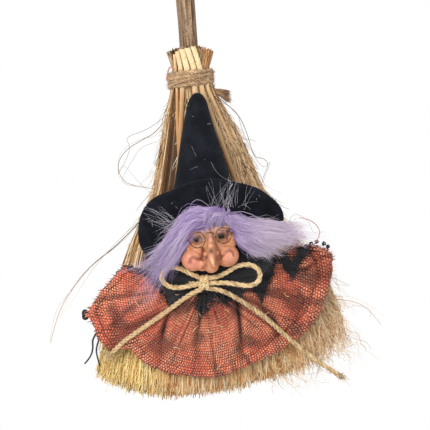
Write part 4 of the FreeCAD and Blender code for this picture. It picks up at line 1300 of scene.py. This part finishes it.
NECK = Vector((0.0, -45.5, -316.0))
CAPE_EDGE = (  # degrees round the neck from the right, and reach from the neck
    (163, 46.6), (170, 50.0), (176, 54.5), (184, 62.0), (191, 69.0), (198, 67.5), (204, 68.7), (212, 66.0),
    (217, 56.5), (232, 56.4), (244, 55.0), (254, 53.4), (264, 53.4), (274, 54.0), (285, 52.8), (297, 53.0),
    (308, 55.6), (319, 58.8), (326, 61.9), (333, 65.1), (341, 67.6), (349, 69.4), (356, 71.8), (362, 73.2),
    (366, 74.2), (369, 74.1), (372, 71.0), (375, 66.7), (378, 57.2),
)
FOLDS = (  # points as right and up, then how deep and how wide
    (((-30, -320), (-45.6, -328.9), (-56.3, -339.9)), 1.7, 2.0),
    (((-20.5, -330), (-23.5, -336), (-25.5, -343), (-26.5, -353)), 3.0, 1.5),
    (((9, -322), (17.5, -326), (18.5, -342), (18.1, -362)), 3.4, 1.7),
    (((26, -326), (38.1, -339.6), (40.5, -352)), 2.4, 1.6),
    (((-3, -328), (-7, -345), (-6, -366)), 1.2, 3.0),
    (((52, -322), (56, -330), (50, -340)), 2.0, 1.8),
    (((40, -310), (58, -312), (66, -307)), 2.2, 1.6),
    (((57, -298), (63, -306), (66, -318)), 2.0, 1.5),
)
BAND_FOOT = (  # right and up along the zigzag foot of the black band
    (-40, -296), (-33, -306), (-27.2, -314), (-20.3, -325.5), (-9.1, -319), (-3.2, -332.5), (5.9, -323.1),
    (12, -327), (18.4, -320.9), (26.3, -318), (31.9, -328), (38.5, -313.5), (41.8, -304.1), (50.1, -316.5),
    (57.1, -304.3), (64, -300), (80, -290),
)
YARN_LOOPS = ((62.0, -11.0, -299.5), (65.0, -11.5, -298.0), (69.0, -11.0, -299.5), (71.5, -11.0, -301.5))
LOOP_STEPS = (
    (-0.9, 0.2, 1.5), (0.6, -0.4, 1.1), (1.5, 0.2, -0.3), (0.1, 0.3, -1.7), (-1.2, -0.3, 0.3), (0.1, 0, 2.0),
)
THREADS = (  # routes of the two loose threads at the cape's left corner
    [(-62.0, -9.5, -338.5), (-66.0, -9.0, -343.0), (-65.8, -9.0, -348.5), (-67.6, -9.0, -353.8),
     (-71.3, -9.0, -357.2)],
    [(-60.5, -10.5, -341.0), (-63.2, -11.5, -346.0), (-64.4, -11.5, -352.0), (-62.4, -11.0, -359.2)],
)
CAPE_FRONT = -40.0
CAPE_SLOPE = 0.49  # how fast the cape falls back, beyond a flat middle that reaches CAPE_FLAT
CAPE_FLAT = 8.0
RED_PATCHES = ((-21.5, -316.5, 3.0), (-8.5, -324.5, 2.6), (40, -301, 2.4), (66, -303, 4.5), (22, -323, 2.0))


def neck_frill():
    """The cape's gathered top, which stands up over the tie behind the chin and the cheeks."""
    bm = bmesh.new()
    bmesh.ops.create_grid(bm, x_segments=200, y_segments=22, size=0.5)
    for vertex in bm.verts:
        turn = math.radians(-32 + 244 * (vertex.co.x + 0.5))
        share = vertex.co.y + 0.5
        rim = 16.0 + 7.5 * abs(math.cos(turn)) + 1.6 * wobble(turn * 2.2, 0, 4) + 0.6 * wobble(turn * 9, 0, 4)
        rim += 17.0 * float(bell(turn - 0.31, 0.3))
        reach = 4.0 + (rim - 4.0) * share
        pleat = math.sin(turn * 17 + 2.0 * wobble(turn * 2)) * (0.5 + 1.0 * share)
        y = -42.5 + 7.5 * share**1.4 + pleat * 0.8 + 1.2 * wobble(turn * 1.7, share * 2)
        vertex.co = Vector((reach * math.cos(turn), y, NECK.z + 0.5 + reach * math.sin(turn))) * MM
    bmesh.ops.recalc_face_normals(bm, faces=bm.faces)
    return with_modifiers(to_mesh(bm), ("SOLIDIFY", {"thickness": 0.9 * MM, "offset": 0.0}))


def make_cape(look):
    """A gathered strip of coarse twill, spread over the broom from the neck, folded and frayed."""
    across, outward = 300, 92
    bm = bmesh.new()
    bmesh.ops.create_grid(bm, x_segments=across, y_segments=outward, size=0.5)
    bm.verts.ensure_lookup_table()
    spots = np.array([v.co for v in bm.verts])[:, :2] + 0.5
    angles, reaches = zip(*CAPE_EDGE)
    angle = 378 - spots[:, 0] * (378 - 163)
    edge = np.interp(angle, angles, reaches)
    ragged = np.array([wobble(a * 0.9) * 0.7 + wobble(a * 0.22, 3) * 0.8 for a in angle])
    edge = edge + ragged
    inner = 5.0
    reach = inner + (edge - inner) * spots[:, 1]
    turn = np.radians(angle)
    x, z = reach * np.cos(turn), NECK.z + reach * np.sin(turn)
    y = CAPE_FRONT + CAPE_SLOPE * np.clip(reach - CAPE_FLAT, 0, None) - 0.6
    # valley: how much painted shade each point of the cloth gets in its folds, gathers, crumples and hem
    valley = np.zeros(len(x))
    for line, deep, wide in FOLDS:
        away, along = near_line(x, z, line)
        there = np.clip(np.sin(np.pi * (0.08 + 0.84 * along)), 0, 1) ** 0.8
        y += (deep * bell(away, wide) - 0.45 * deep * bell(away - 2.3 * wide, 1.4 * wide)) * there
        valley = np.maximum(valley, min(0.95, deep * 0.38) * bell(away, wide * 0.8) * there)
    gather = np.array([
        wobble(a * 0.16, r * 0.015) + 0.5 * wobble(a * 0.4, r * 0.03, 5) for a, r in zip(angle, reach)
    ])
    y += gather * 3.6 * np.clip(1.2 - reach / 75, 0.35, 1)
    crumple = np.array([wobble(px * 0.09, pz * 0.09, 9) for px, pz in zip(x, z)])
    y += crumple * 2.0
    valley = np.maximum(valley, np.clip(gather * 1.8 - 0.1, 0, 0.6))
    valley = np.maximum(valley, np.clip(crumple * 2.0 - 0.2, 0, 0.6))
    from_edge = edge - reach
    wide_hem = np.interp(angle, (163, 300, 322, 352, 378), (4.5, 4.5, 8.5, 8.0, 5.0))
    roll = np.interp(angle, (163, 300, 322, 352, 378), (0.6, 0.7, 2.8, 3.0, 1.0))
    middle = (from_edge - wide_hem / 2) / (wide_hem / 2)
    y -= roll * np.sqrt(np.clip(1 - middle**2, 0, 1))
    y += 0.9 * bell(from_edge - wide_hem - 0.5, 0.9)
    hem_shade = np.interp(angle, (163, 200, 230, 300, 318, 352, 378), (0.2, 0.45, 0.15, 0.15, 0.6, 0.6, 0.3))
    valley = np.maximum(valley, hem_shade * bell(from_edge - wide_hem - 0.4, 0.9))
    ribs = np.sin(angle * 1.6 + from_edge * 0.5) * 0.35 * np.interp(angle, (312, 325, 355, 365), (0, 1, 1, 0))
    y += ribs * (from_edge < wide_hem)
    y += 1.6 * np.clip(1 - from_edge / 1.5, 0, 1) ** 2
    for vertex, place in zip(bm.verts, zip(x, y, z)):
        vertex.co = Vector(place) * MM
    foot_x, foot_z = zip(*BAND_FOOT)
    above = z - np.interp(x, foot_x, foot_z)
    deep_band = np.interp(x, (38, 46, 60), (70, 12, 9))
    band = np.minimum(np.minimum(above + 2.0, deep_band - above), x + 32)
    for px, pz, wide in RED_PATCHES:
        band = np.minimum(band, np.hypot(x - px, z - pz) - wide)
    from_top = reach * np.sin(np.radians(np.clip(angle - CAPE_EDGE[0][0], 0, 90)))
    band = np.maximum(band, np.where(reach > 20, 2.4 - from_top, -9.0))
    uv = bm.loops.layers.uv.new("cloth")
    for face in bm.faces:
        for loop in face.loops:
            k = loop.vert.index
            loop[uv].uv = (turn[k] * 60, reach[k])
    bmesh.ops.recalc_face_normals(bm, faces=bm.faces)
    bm.faces.ensure_lookup_table()
    if bm.faces[0].normal.y > 0:
        bmesh.ops.reverse_faces(bm, faces=bm.faces)
    mesh = to_mesh(bm)
    for name, values in (("band", band), ("valley", valley)):
        mark(mesh, name, values)
    mesh = with_modifiers(mesh, ("SOLIDIFY", {"thickness": 1.1 * MM, "offset": -1.0}))
    cape = piece("cape_twill", mesh, cloth_finish(look), ["cape"])

    black = plain_finish("black_yarn", "17161a", "38363e", 1.5)
    piece("neck_frill", neck_frill(), frill_finish())
    coral = plain_finish("coral_yarn", look.coral, look.coral_light, 1.5)
    routes, red_routes = [], []
    for _ in range(look.frays):
        where = random.choice((random.uniform(366, 378), random.uniform(163, 200), random.uniform(163, 378)))
        out = float(np.interp(where, angles, reaches))
        turn = math.radians(where)
        heading = Vector((math.cos(turn), -0.1, math.sin(turn)))
        root = Vector((0, 0, NECK.z)) + Vector((heading.x, 0, heading.z)) * (out - 1.2)
        root.y = CAPE_FRONT + CAPE_SLOPE * (out - CAPE_FLAT) + 0.2
        long = random.uniform(0.8, 2.8 if where > 360 or where < 200 else 1.7)
        aside = Vector((random.gauss(0, 0.5), random.gauss(0, 0.2), random.gauss(0, 0.5)))
        halfway = root + heading * long * 0.5 + aside * 0.3
        points = np.array([root, halfway, root + heading * long + aside * long * 0.5])
        thick = random.uniform(0.12, 0.3)
        chosen = routes if random.random() < (0.8 if where < 172 else 0.45) else red_routes
        chosen.append(Strand(points, (thick, thick * 0.9, thick * 0.5), random.random()))
    for middle in YARN_LOOPS:
        loop = [Vector(middle)]
        for step in LOOP_STEPS:
            loop.append(loop[-1] + Vector(step) * random.uniform(0.7, 1.1))
        line = smoothed(loop)
        routes.append(tapered(line, 0.55, 0.3, 0.5))
    for route in THREADS:
        line = smoothed(route)
        routes.append(tapered(line, 0.58, 0.46, 0.5))
    near_band = [k for k in range(len(x)) if band[k] > -1.6 and reach[k] > 12]
    for k in random.choices(near_band, k=look.band_fuzz):
        root, turned = Vector((x[k], y[k] - 0.6, z[k])), random.uniform(0, FULL_TURN)
        reach_out = Vector((math.cos(turned), -0.25, math.sin(turned))) * random.uniform(1.0, 3.2)
        points = np.array([root, root + reach_out * 0.5 + some(0.4), root + reach_out])
        routes.append(Strand(points, (0.12, 0.1, 0.03), random.random()))
    piece("black_frays", strands(routes, 5), black, ["cape_threads"])
    piece("coral_frays", strands(red_routes, 5), coral)

    caught = []
    for _ in range(look.caught_straws):
        where, out = math.radians(random.uniform(192, 356)), random.uniform(14, 50)
        y = CAPE_FRONT - 3.4 + CAPE_SLOPE * (out - CAPE_FLAT)
        root = Vector((out * math.cos(where), y, NECK.z + out * math.sin(where)))
        reach = Vector((random.gauss(0, 1), -0.1, random.gauss(0, 1))).normalized() * random.uniform(2.5, 6.5)
        line = smoothed([root, root + reach * 0.5 + some(0.7), root + reach])
        caught.append(tapered(line, 0.2, 0.12, random.random()))
    dry = plain_finish("caught_straw", "d9a96c", "f2dcae")
    piece("caught_straws", strands(caught, 4), dry)

    knot = []
    for k in range(46):
        turn = FULL_TURN * k / 45 * 2
        out = 1.5 + 0.7 * math.cos(1.5 * turn)
        y, z = -7.2 + 0.9 * math.sin(1.5 * turn), -329.4 + out * 1.2 * math.sin(turn)
        knot.append((-68.6 + out * math.cos(turn), y, z))
    routes = [tapered(knot, 0.72, 0.72, 0.5)]
    piece("cape_yarn_knot", strands(routes, 6), black, ["cape_knot"])


# ---------------------------------------------------------------- bow

KNOT = Vector((0.0, -45.5, -314.8))
BOW_RADIUS = 1.4
BOW_ROUTES = {  # right, ahead and up from the knot's middle, as -Y is ahead
    "bow_loop_left": [
        (-1.5, -0.5, 2.0), (-7.6, -0.9, 5.2), (-14.4, -1.3, 9.4), (-21.2, -1.5, 9.4), (-24.4, -1.4, 4.9),
        (-22.2, -1.2, -0.2), (-16.2, -1.0, -2.6), (-9.4, -0.8, -1.9), (-1.5, -0.5, -0.9),
    ],
    "bow_loop_right": [
        (1.5, -0.5, 2.0), (7.4, -1.0, 2.0), (13.6, -1.6, 4.8), (19.8, -1.8, 8.2), (27.0, -1.8, 8.2),
        (32.0, -1.4, 4.2), (31.0, -1.0, -2.0), (25.4, -0.8, -4.2), (18.6, -0.7, -2.7),
        (11.4, -0.6, -1.0), (1.5, -0.5, -0.9),
    ],
    "bow_tail_left": [
        (-1.5, -0.5, -3.8), (-8.5, 0.3, -6.2), (-18.5, 7.5, -12.9), (-29.5, 15.0, -19.8),
        (-40.5, 21.8, -26.3), (-49.5, 27.5, -31.8), (-55.5, 31.5, -37.6),
    ],
    "bow_tail_right": [
        (1.5, -0.5, -3.8), (8.0, 0.0, -4.6), (15.9, 5.0, -9.3), (25.5, 11.6, -16.2), (34.5, 18.0, -24.0),
        (42.5, 24.0, -32.6), (52.5, 28.0, -42.4), (62.5, 30.3, -51.0), (73.0, 31.3, -58.8),
    ],
}


def make_bow(look):
    """A bow of pale jute tied at the neck, with its two loops, its two tails and its knot."""
    pale = jute_finish("bow_jute", "8f6c43", look.bow, "ecd5a6")
    loose = []
    for name, route in BOW_ROUTES.items():
        line = smoothed([Vector(point) + KNOT for point in route])
        cord = piece(f"{name}_cord", strands(rope(line, BOW_RADIUS, 3, 9.0), 6), pale, [name])
        loose += fuzz(line, BOW_RADIUS, 1.1, 1.9)
        if "tail" in name:
            heading = line[-1] - line[-4]
            heading /= np.linalg.norm(heading)
            for _ in range(70):
                spread = np.array([random.gauss(0, 0.17) for _ in range(3)])
                root = line[-1] + spread * 3.5 - heading * 0.8
                long = random.uniform(1.8, 4.2)
                middle = root + (heading + spread) * long * 0.5
                points = [root, middle, root + (heading + spread * 2.2) * long]
                loose.append(Strand(np.array(points), (0.2, 0.16, 0.05), random.random()))
    piece("bow_fuzz", strands(loose), pale)

    wraps = []
    for shift, tilt in ((-1.5, 0.12), (1.5, -0.1), (0.1, 0.3)):
        ring = []
        for k in range(29):
            turn = FULL_TURN * k / 28
            place = Vector((shift + 0.4 * math.sin(turn), -2.4 * math.cos(turn), 3.3 * math.sin(turn)))
            ring.append(Matrix.Rotation(tilt, 3, "Y") @ place + KNOT + Vector((0, -0.4, -0.6)))
        wraps += rope(np.array(ring), 1.3, 3, 6.0)
    piece("bow_wraps", strands(wraps, 6), pale, ["bow_knot"])

    turns = np.linspace(0.12, FULL_TURN - 0.12, 60)
    ring = [(14 * math.sin(turn), -29 - 14 * math.cos(turn), KNOT.z) for turn in turns]
    piece("neck_cord", strands(rope(np.array(ring), BOW_RADIUS), 6), pale, ["neck_twine"])


# ---------------------------------------------------------------- hidden parts, stage


def finish_hidden():
    """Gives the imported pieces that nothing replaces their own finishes."""
    wadding = plain_finish("wadding", "d8d5cf", "f0ede6", 0.9)
    glue = plain_finish("set_glue", "cdbd92", "e4d8b4", 0.6, 0.35, 0.2)
    chosen = {
        "hat_stuffing": wadding,
        "head_wad": wadding,
        "hat_glue": glue,
        "brim_glue": glue,
        "spectacles": brass_finish(),
    }
    for name, finish in chosen.items():
        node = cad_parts[name]
        for material_slot in node.material_slots:
            material_slot.material = finish


def make_stage(look):
    """The camera, the lamps, a pale floor well below the hanging broom, and a white surround."""
    scene = bpy.context.scene
    scene.view_settings.view_transform = "Standard"

    camera = bpy.data.cameras.new("camera")
    camera.sensor_width = SENSOR_WIDE
    camera.lens = SENSOR_WIDE * look.camera_away / look.view_wide
    eye = bpy.data.objects.new("camera", camera)
    scene.collection.objects.link(eye)
    roll = look.camera_roll
    right = Vector((math.cos(roll), 0, -math.sin(roll)))
    up = Vector((math.sin(roll), 0, math.cos(roll)))
    turned = Matrix((right, up, Vector((0, -1, 0)))).transposed().to_4x4()
    turned.translation = (look.view_x, -look.camera_away, look.view_z)
    eye.matrix_world = turned
    scene.camera = eye

    for name, place, power, wide in (
        ("key_lamp", (-420, -720, 60), look.key, 0.55),
        ("fill_lamp", (560, -620, -260), look.fill, 0.6),
        ("back_lamp", (100, 650, 120), look.rim, 0.6),
    ):
        lamp = bpy.data.lights.new(name, "AREA")
        lamp.energy = power
        lamp.size = wide
        obj = bpy.data.objects.new(name, lamp)
        scene.collection.objects.link(obj)
        obj.location = Vector(place) * MM
        aim = Vector((0, 0, -290)) * MM - obj.location
        obj.rotation_euler = aim.to_track_quat("-Z", "Y").to_euler()

    bm = bmesh.new()
    bmesh.ops.create_circle(bm, segments=64, radius=1.3, cap_ends=True)
    bmesh.ops.translate(bm, vec=(0, 0, -0.5), verts=bm.verts)
    floor = bpy.data.objects.new("floor", to_mesh(bm))
    scene.collection.objects.link(floor)
    pale = Finish("floor", base_color=(0.88, 0.88, 0.88, 1), roughness=0.9, emission_strength=1.0)
    seen_straight = pale.node("LightPath", output="Is Camera Ray")
    pale.feed("Emission Color", pale.mix(seen_straight, (0.0, 0.0, 0.0), (0.4, 0.4, 0.4)))
    floor.data.materials.append(pale.material)

    world = bpy.data.worlds.new("surround")
    world.use_nodes = True
    scene.world = world
    sky = Nodes(world.node_tree)
    light = sky.tree.nodes["Background"]
    light.inputs["Color"].default_value = (1, 1, 1, 1)
    light.inputs["Strength"].default_value = look.surround
    white = sky.node("Background", {}, {"Color": (1.0, 1.0, 1.0)})
    camera_ray, glossy_ray, clear_ray = (
        sky.node("LightPath", output=f"Is {kind} Ray") for kind in ("Camera", "Glossy", "Transmission")
    )
    seen = sky.maths("MAXIMUM", sky.maths("MAXIMUM", camera_ray, glossy_ray), clear_ray)
    blend = sky.node("MixShader", {}, {0: seen, 1: Value(sky, light.outputs[0]), 2: white})
    sky.tree.links.new(blend.socket, sky.tree.nodes["World Output"].inputs["Surface"])


# ---------------------------------------------------------------- add-on


class StageLook(bpy.types.PropertyGroup):
    camera_away: size("Camera distance", "From the camera to the stick's axis", 2.8, 0.3, 5.0)
    view_wide: size("View width", "How much the view takes in across the stick's axis", 0.2457, 0.05, 1.0)
    view_x: size("View middle, right", "The middle of the view, right of the stick's axis", 0.0086, -0.2, 0.2)
    view_z: size("View middle, up", "The middle of the view, above the stick's top", -0.2777, -0.6, 0.2)
    camera_roll: FloatProperty(
        name="Camera roll", description="How far the view leans", default=math.radians(3.9), subtype="ANGLE"
    )
    key: watts("Key lamp", "Power of the main lamp", 6.5)
    fill: watts("Fill lamp", "Power of the lamp on the right", 1.6)
    rim: watts("Back lamp", "Power of the lamp behind", 1.5)
    surround: FloatProperty(
        name="Surround", description="Strength of the light from all round", default=0.42,
        min=0, max=1, subtype="FACTOR",
    )


class BroomLook(bpy.types.PropertyGroup):
    bark: colour("Bark", "The stick's main colour", "957658")
    bark_dark: colour("Dark bark", "The stick's dark grain", "594231")
    bark_light: colour("Worn bark", "The stick's light grain", "c29f7a")
    straw: colour("Straw", "The straw's main colour", "c58a54")
    straw_dark: colour("Dark straw", "The darkest stalks", "542f16")
    straw_light: colour("Light straw", "The lightest stalks", "fff0cc")
    reed: colour("Reed", "The flat reeds", "f2d4a2")
    binding: colour("Binding", "The jute round the neck", "b9946b")
    stalks: count("Stalks", "Stalks on each side of the broom", 2600)
    inner_stalks: count("Inner stalks", "Cut ends between the front and the back of the broom", 2400)
    tips: count("Tips", "Fine split ends on each side of the broom", 3800)
    frizz: count("Loose fibres", "Curly fibres that stand off the broom", 2400)
    surface: count("Surface fibres", "Short bent fibres that lie on the front of the straw", 3200)


class HatLook(bpy.types.PropertyGroup):
    felt: colour("Felt", "The hat's main colour", "111318")
    felt_fibres: count("Felt fuzz", "Short fibres standing off the felt", 2600)
    lint: count("Lint", "Pale specks caught on the felt", 60)


class HeadLook(bpy.types.PropertyGroup):
    skin: colour("Skin", "The face's main colour", "cd8a62")
    blush: colour("Blush", "The paint on the cheeks", "dc8673")
    violet: colour("Violet", "The deepest hair", "70549a")
    lilac: colour("Lilac", "The main hair", "ad91c8")
    tufts: count("Tufts", "Tufts of hair in each of the three locks", 150)
    hairs: count("Hairs", "Hairs in each tuft", 24)
    wisps: count("Wisps", "Single white hairs over the brim", 60)
    short_hairs: count("Short hairs", "Short hairs over the backing of the pile", 4500)


class CapeLook(bpy.types.PropertyGroup):
    coral: colour("Coral", "The weft's main colour", "ff7450")
    coral_light: colour("Light coral", "The weft's light flecks", "ffb88c")
    warp: colour("Warp", "The dark yarn between", "32171a")
    frays: count("Frayed ends", "Yarn ends along the cut edges", 420)
    band_fuzz: count("Border fuzz", "Loose yarn standing off the black border", 1500)
    caught_straws: count("Caught straws", "Bits of straw lying on the cloth", 14)


class BowLook(bpy.types.PropertyGroup):
    bow: colour("Bow", "The jute of the bow", "dbba85")


class BROOM_OT_stage(bpy.types.Operator):
    """Adds the camera, the lamps, the floor and the surround."""

    bl_idname = "broom.stage"
    bl_label = "Stage"

    def execute(self, context):
        make_stage(context.scene.stage_look)
        return {"FINISHED"}


class BROOM_OT_bow(bpy.types.Operator):
    """Ties the jute bow at the neck."""

    bl_idname = "broom.bow"
    bl_label = "Bow"

    def execute(self, context):
        make_bow(context.scene.bow_look)
        return {"FINISHED"}


class BROOM_OT_stick(bpy.types.Operator):
    """Makes the twig that the broom is bound to."""

    bl_idname = "broom.stick"
    bl_label = "Stick"

    def execute(self, context):
        make_stick(context.scene.broom_look)
        return {"FINISHED"}


class BROOM_OT_straw(bpy.types.Operator):
    """Fills the fan with broom straw."""

    bl_idname = "broom.straw"
    bl_label = "Straw"

    def execute(self, context):
        make_straw(context.scene.broom_look)
        return {"FINISHED"}


class BROOM_OT_reeds(bpy.types.Operator):
    """Lays split reeds down the front of the broom."""

    bl_idname = "broom.reeds"
    bl_label = "Reeds"

    def execute(self, context):
        make_reeds(context.scene.broom_look)
        return {"FINISHED"}


class BROOM_OT_binding(bpy.types.Operator):
    """Winds jute round the neck of the broom."""

    bl_idname = "broom.binding"
    bl_label = "Binding"

    def execute(self, context):
        make_binding(context.scene.broom_look)
        return {"FINISHED"}


class BROOM_OT_stray_fibres(bpy.types.Operator):
    """Adds the long fibres that have sprung loose."""

    bl_idname = "broom.stray_fibres"
    bl_label = "Stray fibres"

    def execute(self, context):
        make_stray_fibres()
        return {"FINISHED"}


class BROOM_OT_hat(bpy.types.Operator):
    """Makes the felt cone and brim."""

    bl_idname = "broom.hat"
    bl_label = "Hat"

    def execute(self, context):
        make_hat(context.scene.hat_look)
        return {"FINISHED"}


class BROOM_OT_face(bpy.types.Operator):
    """Moulds the face and sets its eyes."""

    bl_idname = "broom.face"
    bl_label = "Face"

    def execute(self, context):
        make_face(context.scene.head_look)
        return {"FINISHED"}


class BROOM_OT_hair(bpy.types.Operator):
    """Combs the purple pile round the face."""

    bl_idname = "broom.hair"
    bl_label = "Hair"

    def execute(self, context):
        make_hair(context.scene.head_look)
        return {"FINISHED"}


class BROOM_OT_cape(bpy.types.Operator):
    """Spreads the gathered cape and frays its edges."""

    bl_idname = "broom.cape"
    bl_label = "Cape"

    def execute(self, context):
        make_cape(context.scene.cape_look)
        return {"FINISHED"}


class BROOM_OT_hidden_pieces(bpy.types.Operator):
    """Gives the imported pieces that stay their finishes."""

    bl_idname = "broom.hidden_pieces"
    bl_label = "Hidden pieces"

    def execute(self, context):
        finish_hidden()
        return {"FINISHED"}


OPERATORS = (
    BROOM_OT_stage,
    BROOM_OT_bow,
    BROOM_OT_stick,
    BROOM_OT_straw,
    BROOM_OT_reeds,
    BROOM_OT_binding,
    BROOM_OT_stray_fibres,
    BROOM_OT_hat,
    BROOM_OT_face,
    BROOM_OT_hair,
    BROOM_OT_cape,
    BROOM_OT_hidden_pieces,
)
LOOKS = {
    "stage_look": StageLook,
    "broom_look": BroomLook,
    "hat_look": HatLook,
    "head_look": HeadLook,
    "cape_look": CapeLook,
    "bow_look": BowLook,
}


class BROOM_PT_panel(bpy.types.Panel):
    """Lists the pieces of the broom decoration."""

    bl_label = "Witch on a broom"
    bl_idname = "BROOM_PT_panel"
    bl_space_type = "VIEW_3D"
    bl_region_type = "UI"
    bl_category = "Broom"

    def draw(self, context):
        for made in OPERATORS:
            self.layout.operator(made.bl_idname)


CLASSES = (*LOOKS.values(), *OPERATORS, BROOM_PT_panel)


def register():
    for made in CLASSES:
        bpy.utils.register_class(made)
    for name, group in LOOKS.items():
        setattr(bpy.types.Scene, name, PointerProperty(type=group))


def unregister():
    for name in LOOKS:
        delattr(bpy.types.Scene, name)
    for made in reversed(CLASSES):
        bpy.utils.unregister_class(made)


def main():
    register()
    random.seed(7)
    for made in OPERATORS:
        getattr(bpy.ops.broom, made.bl_idname.split(".")[1])()


if __name__ == "__main__":
    main()
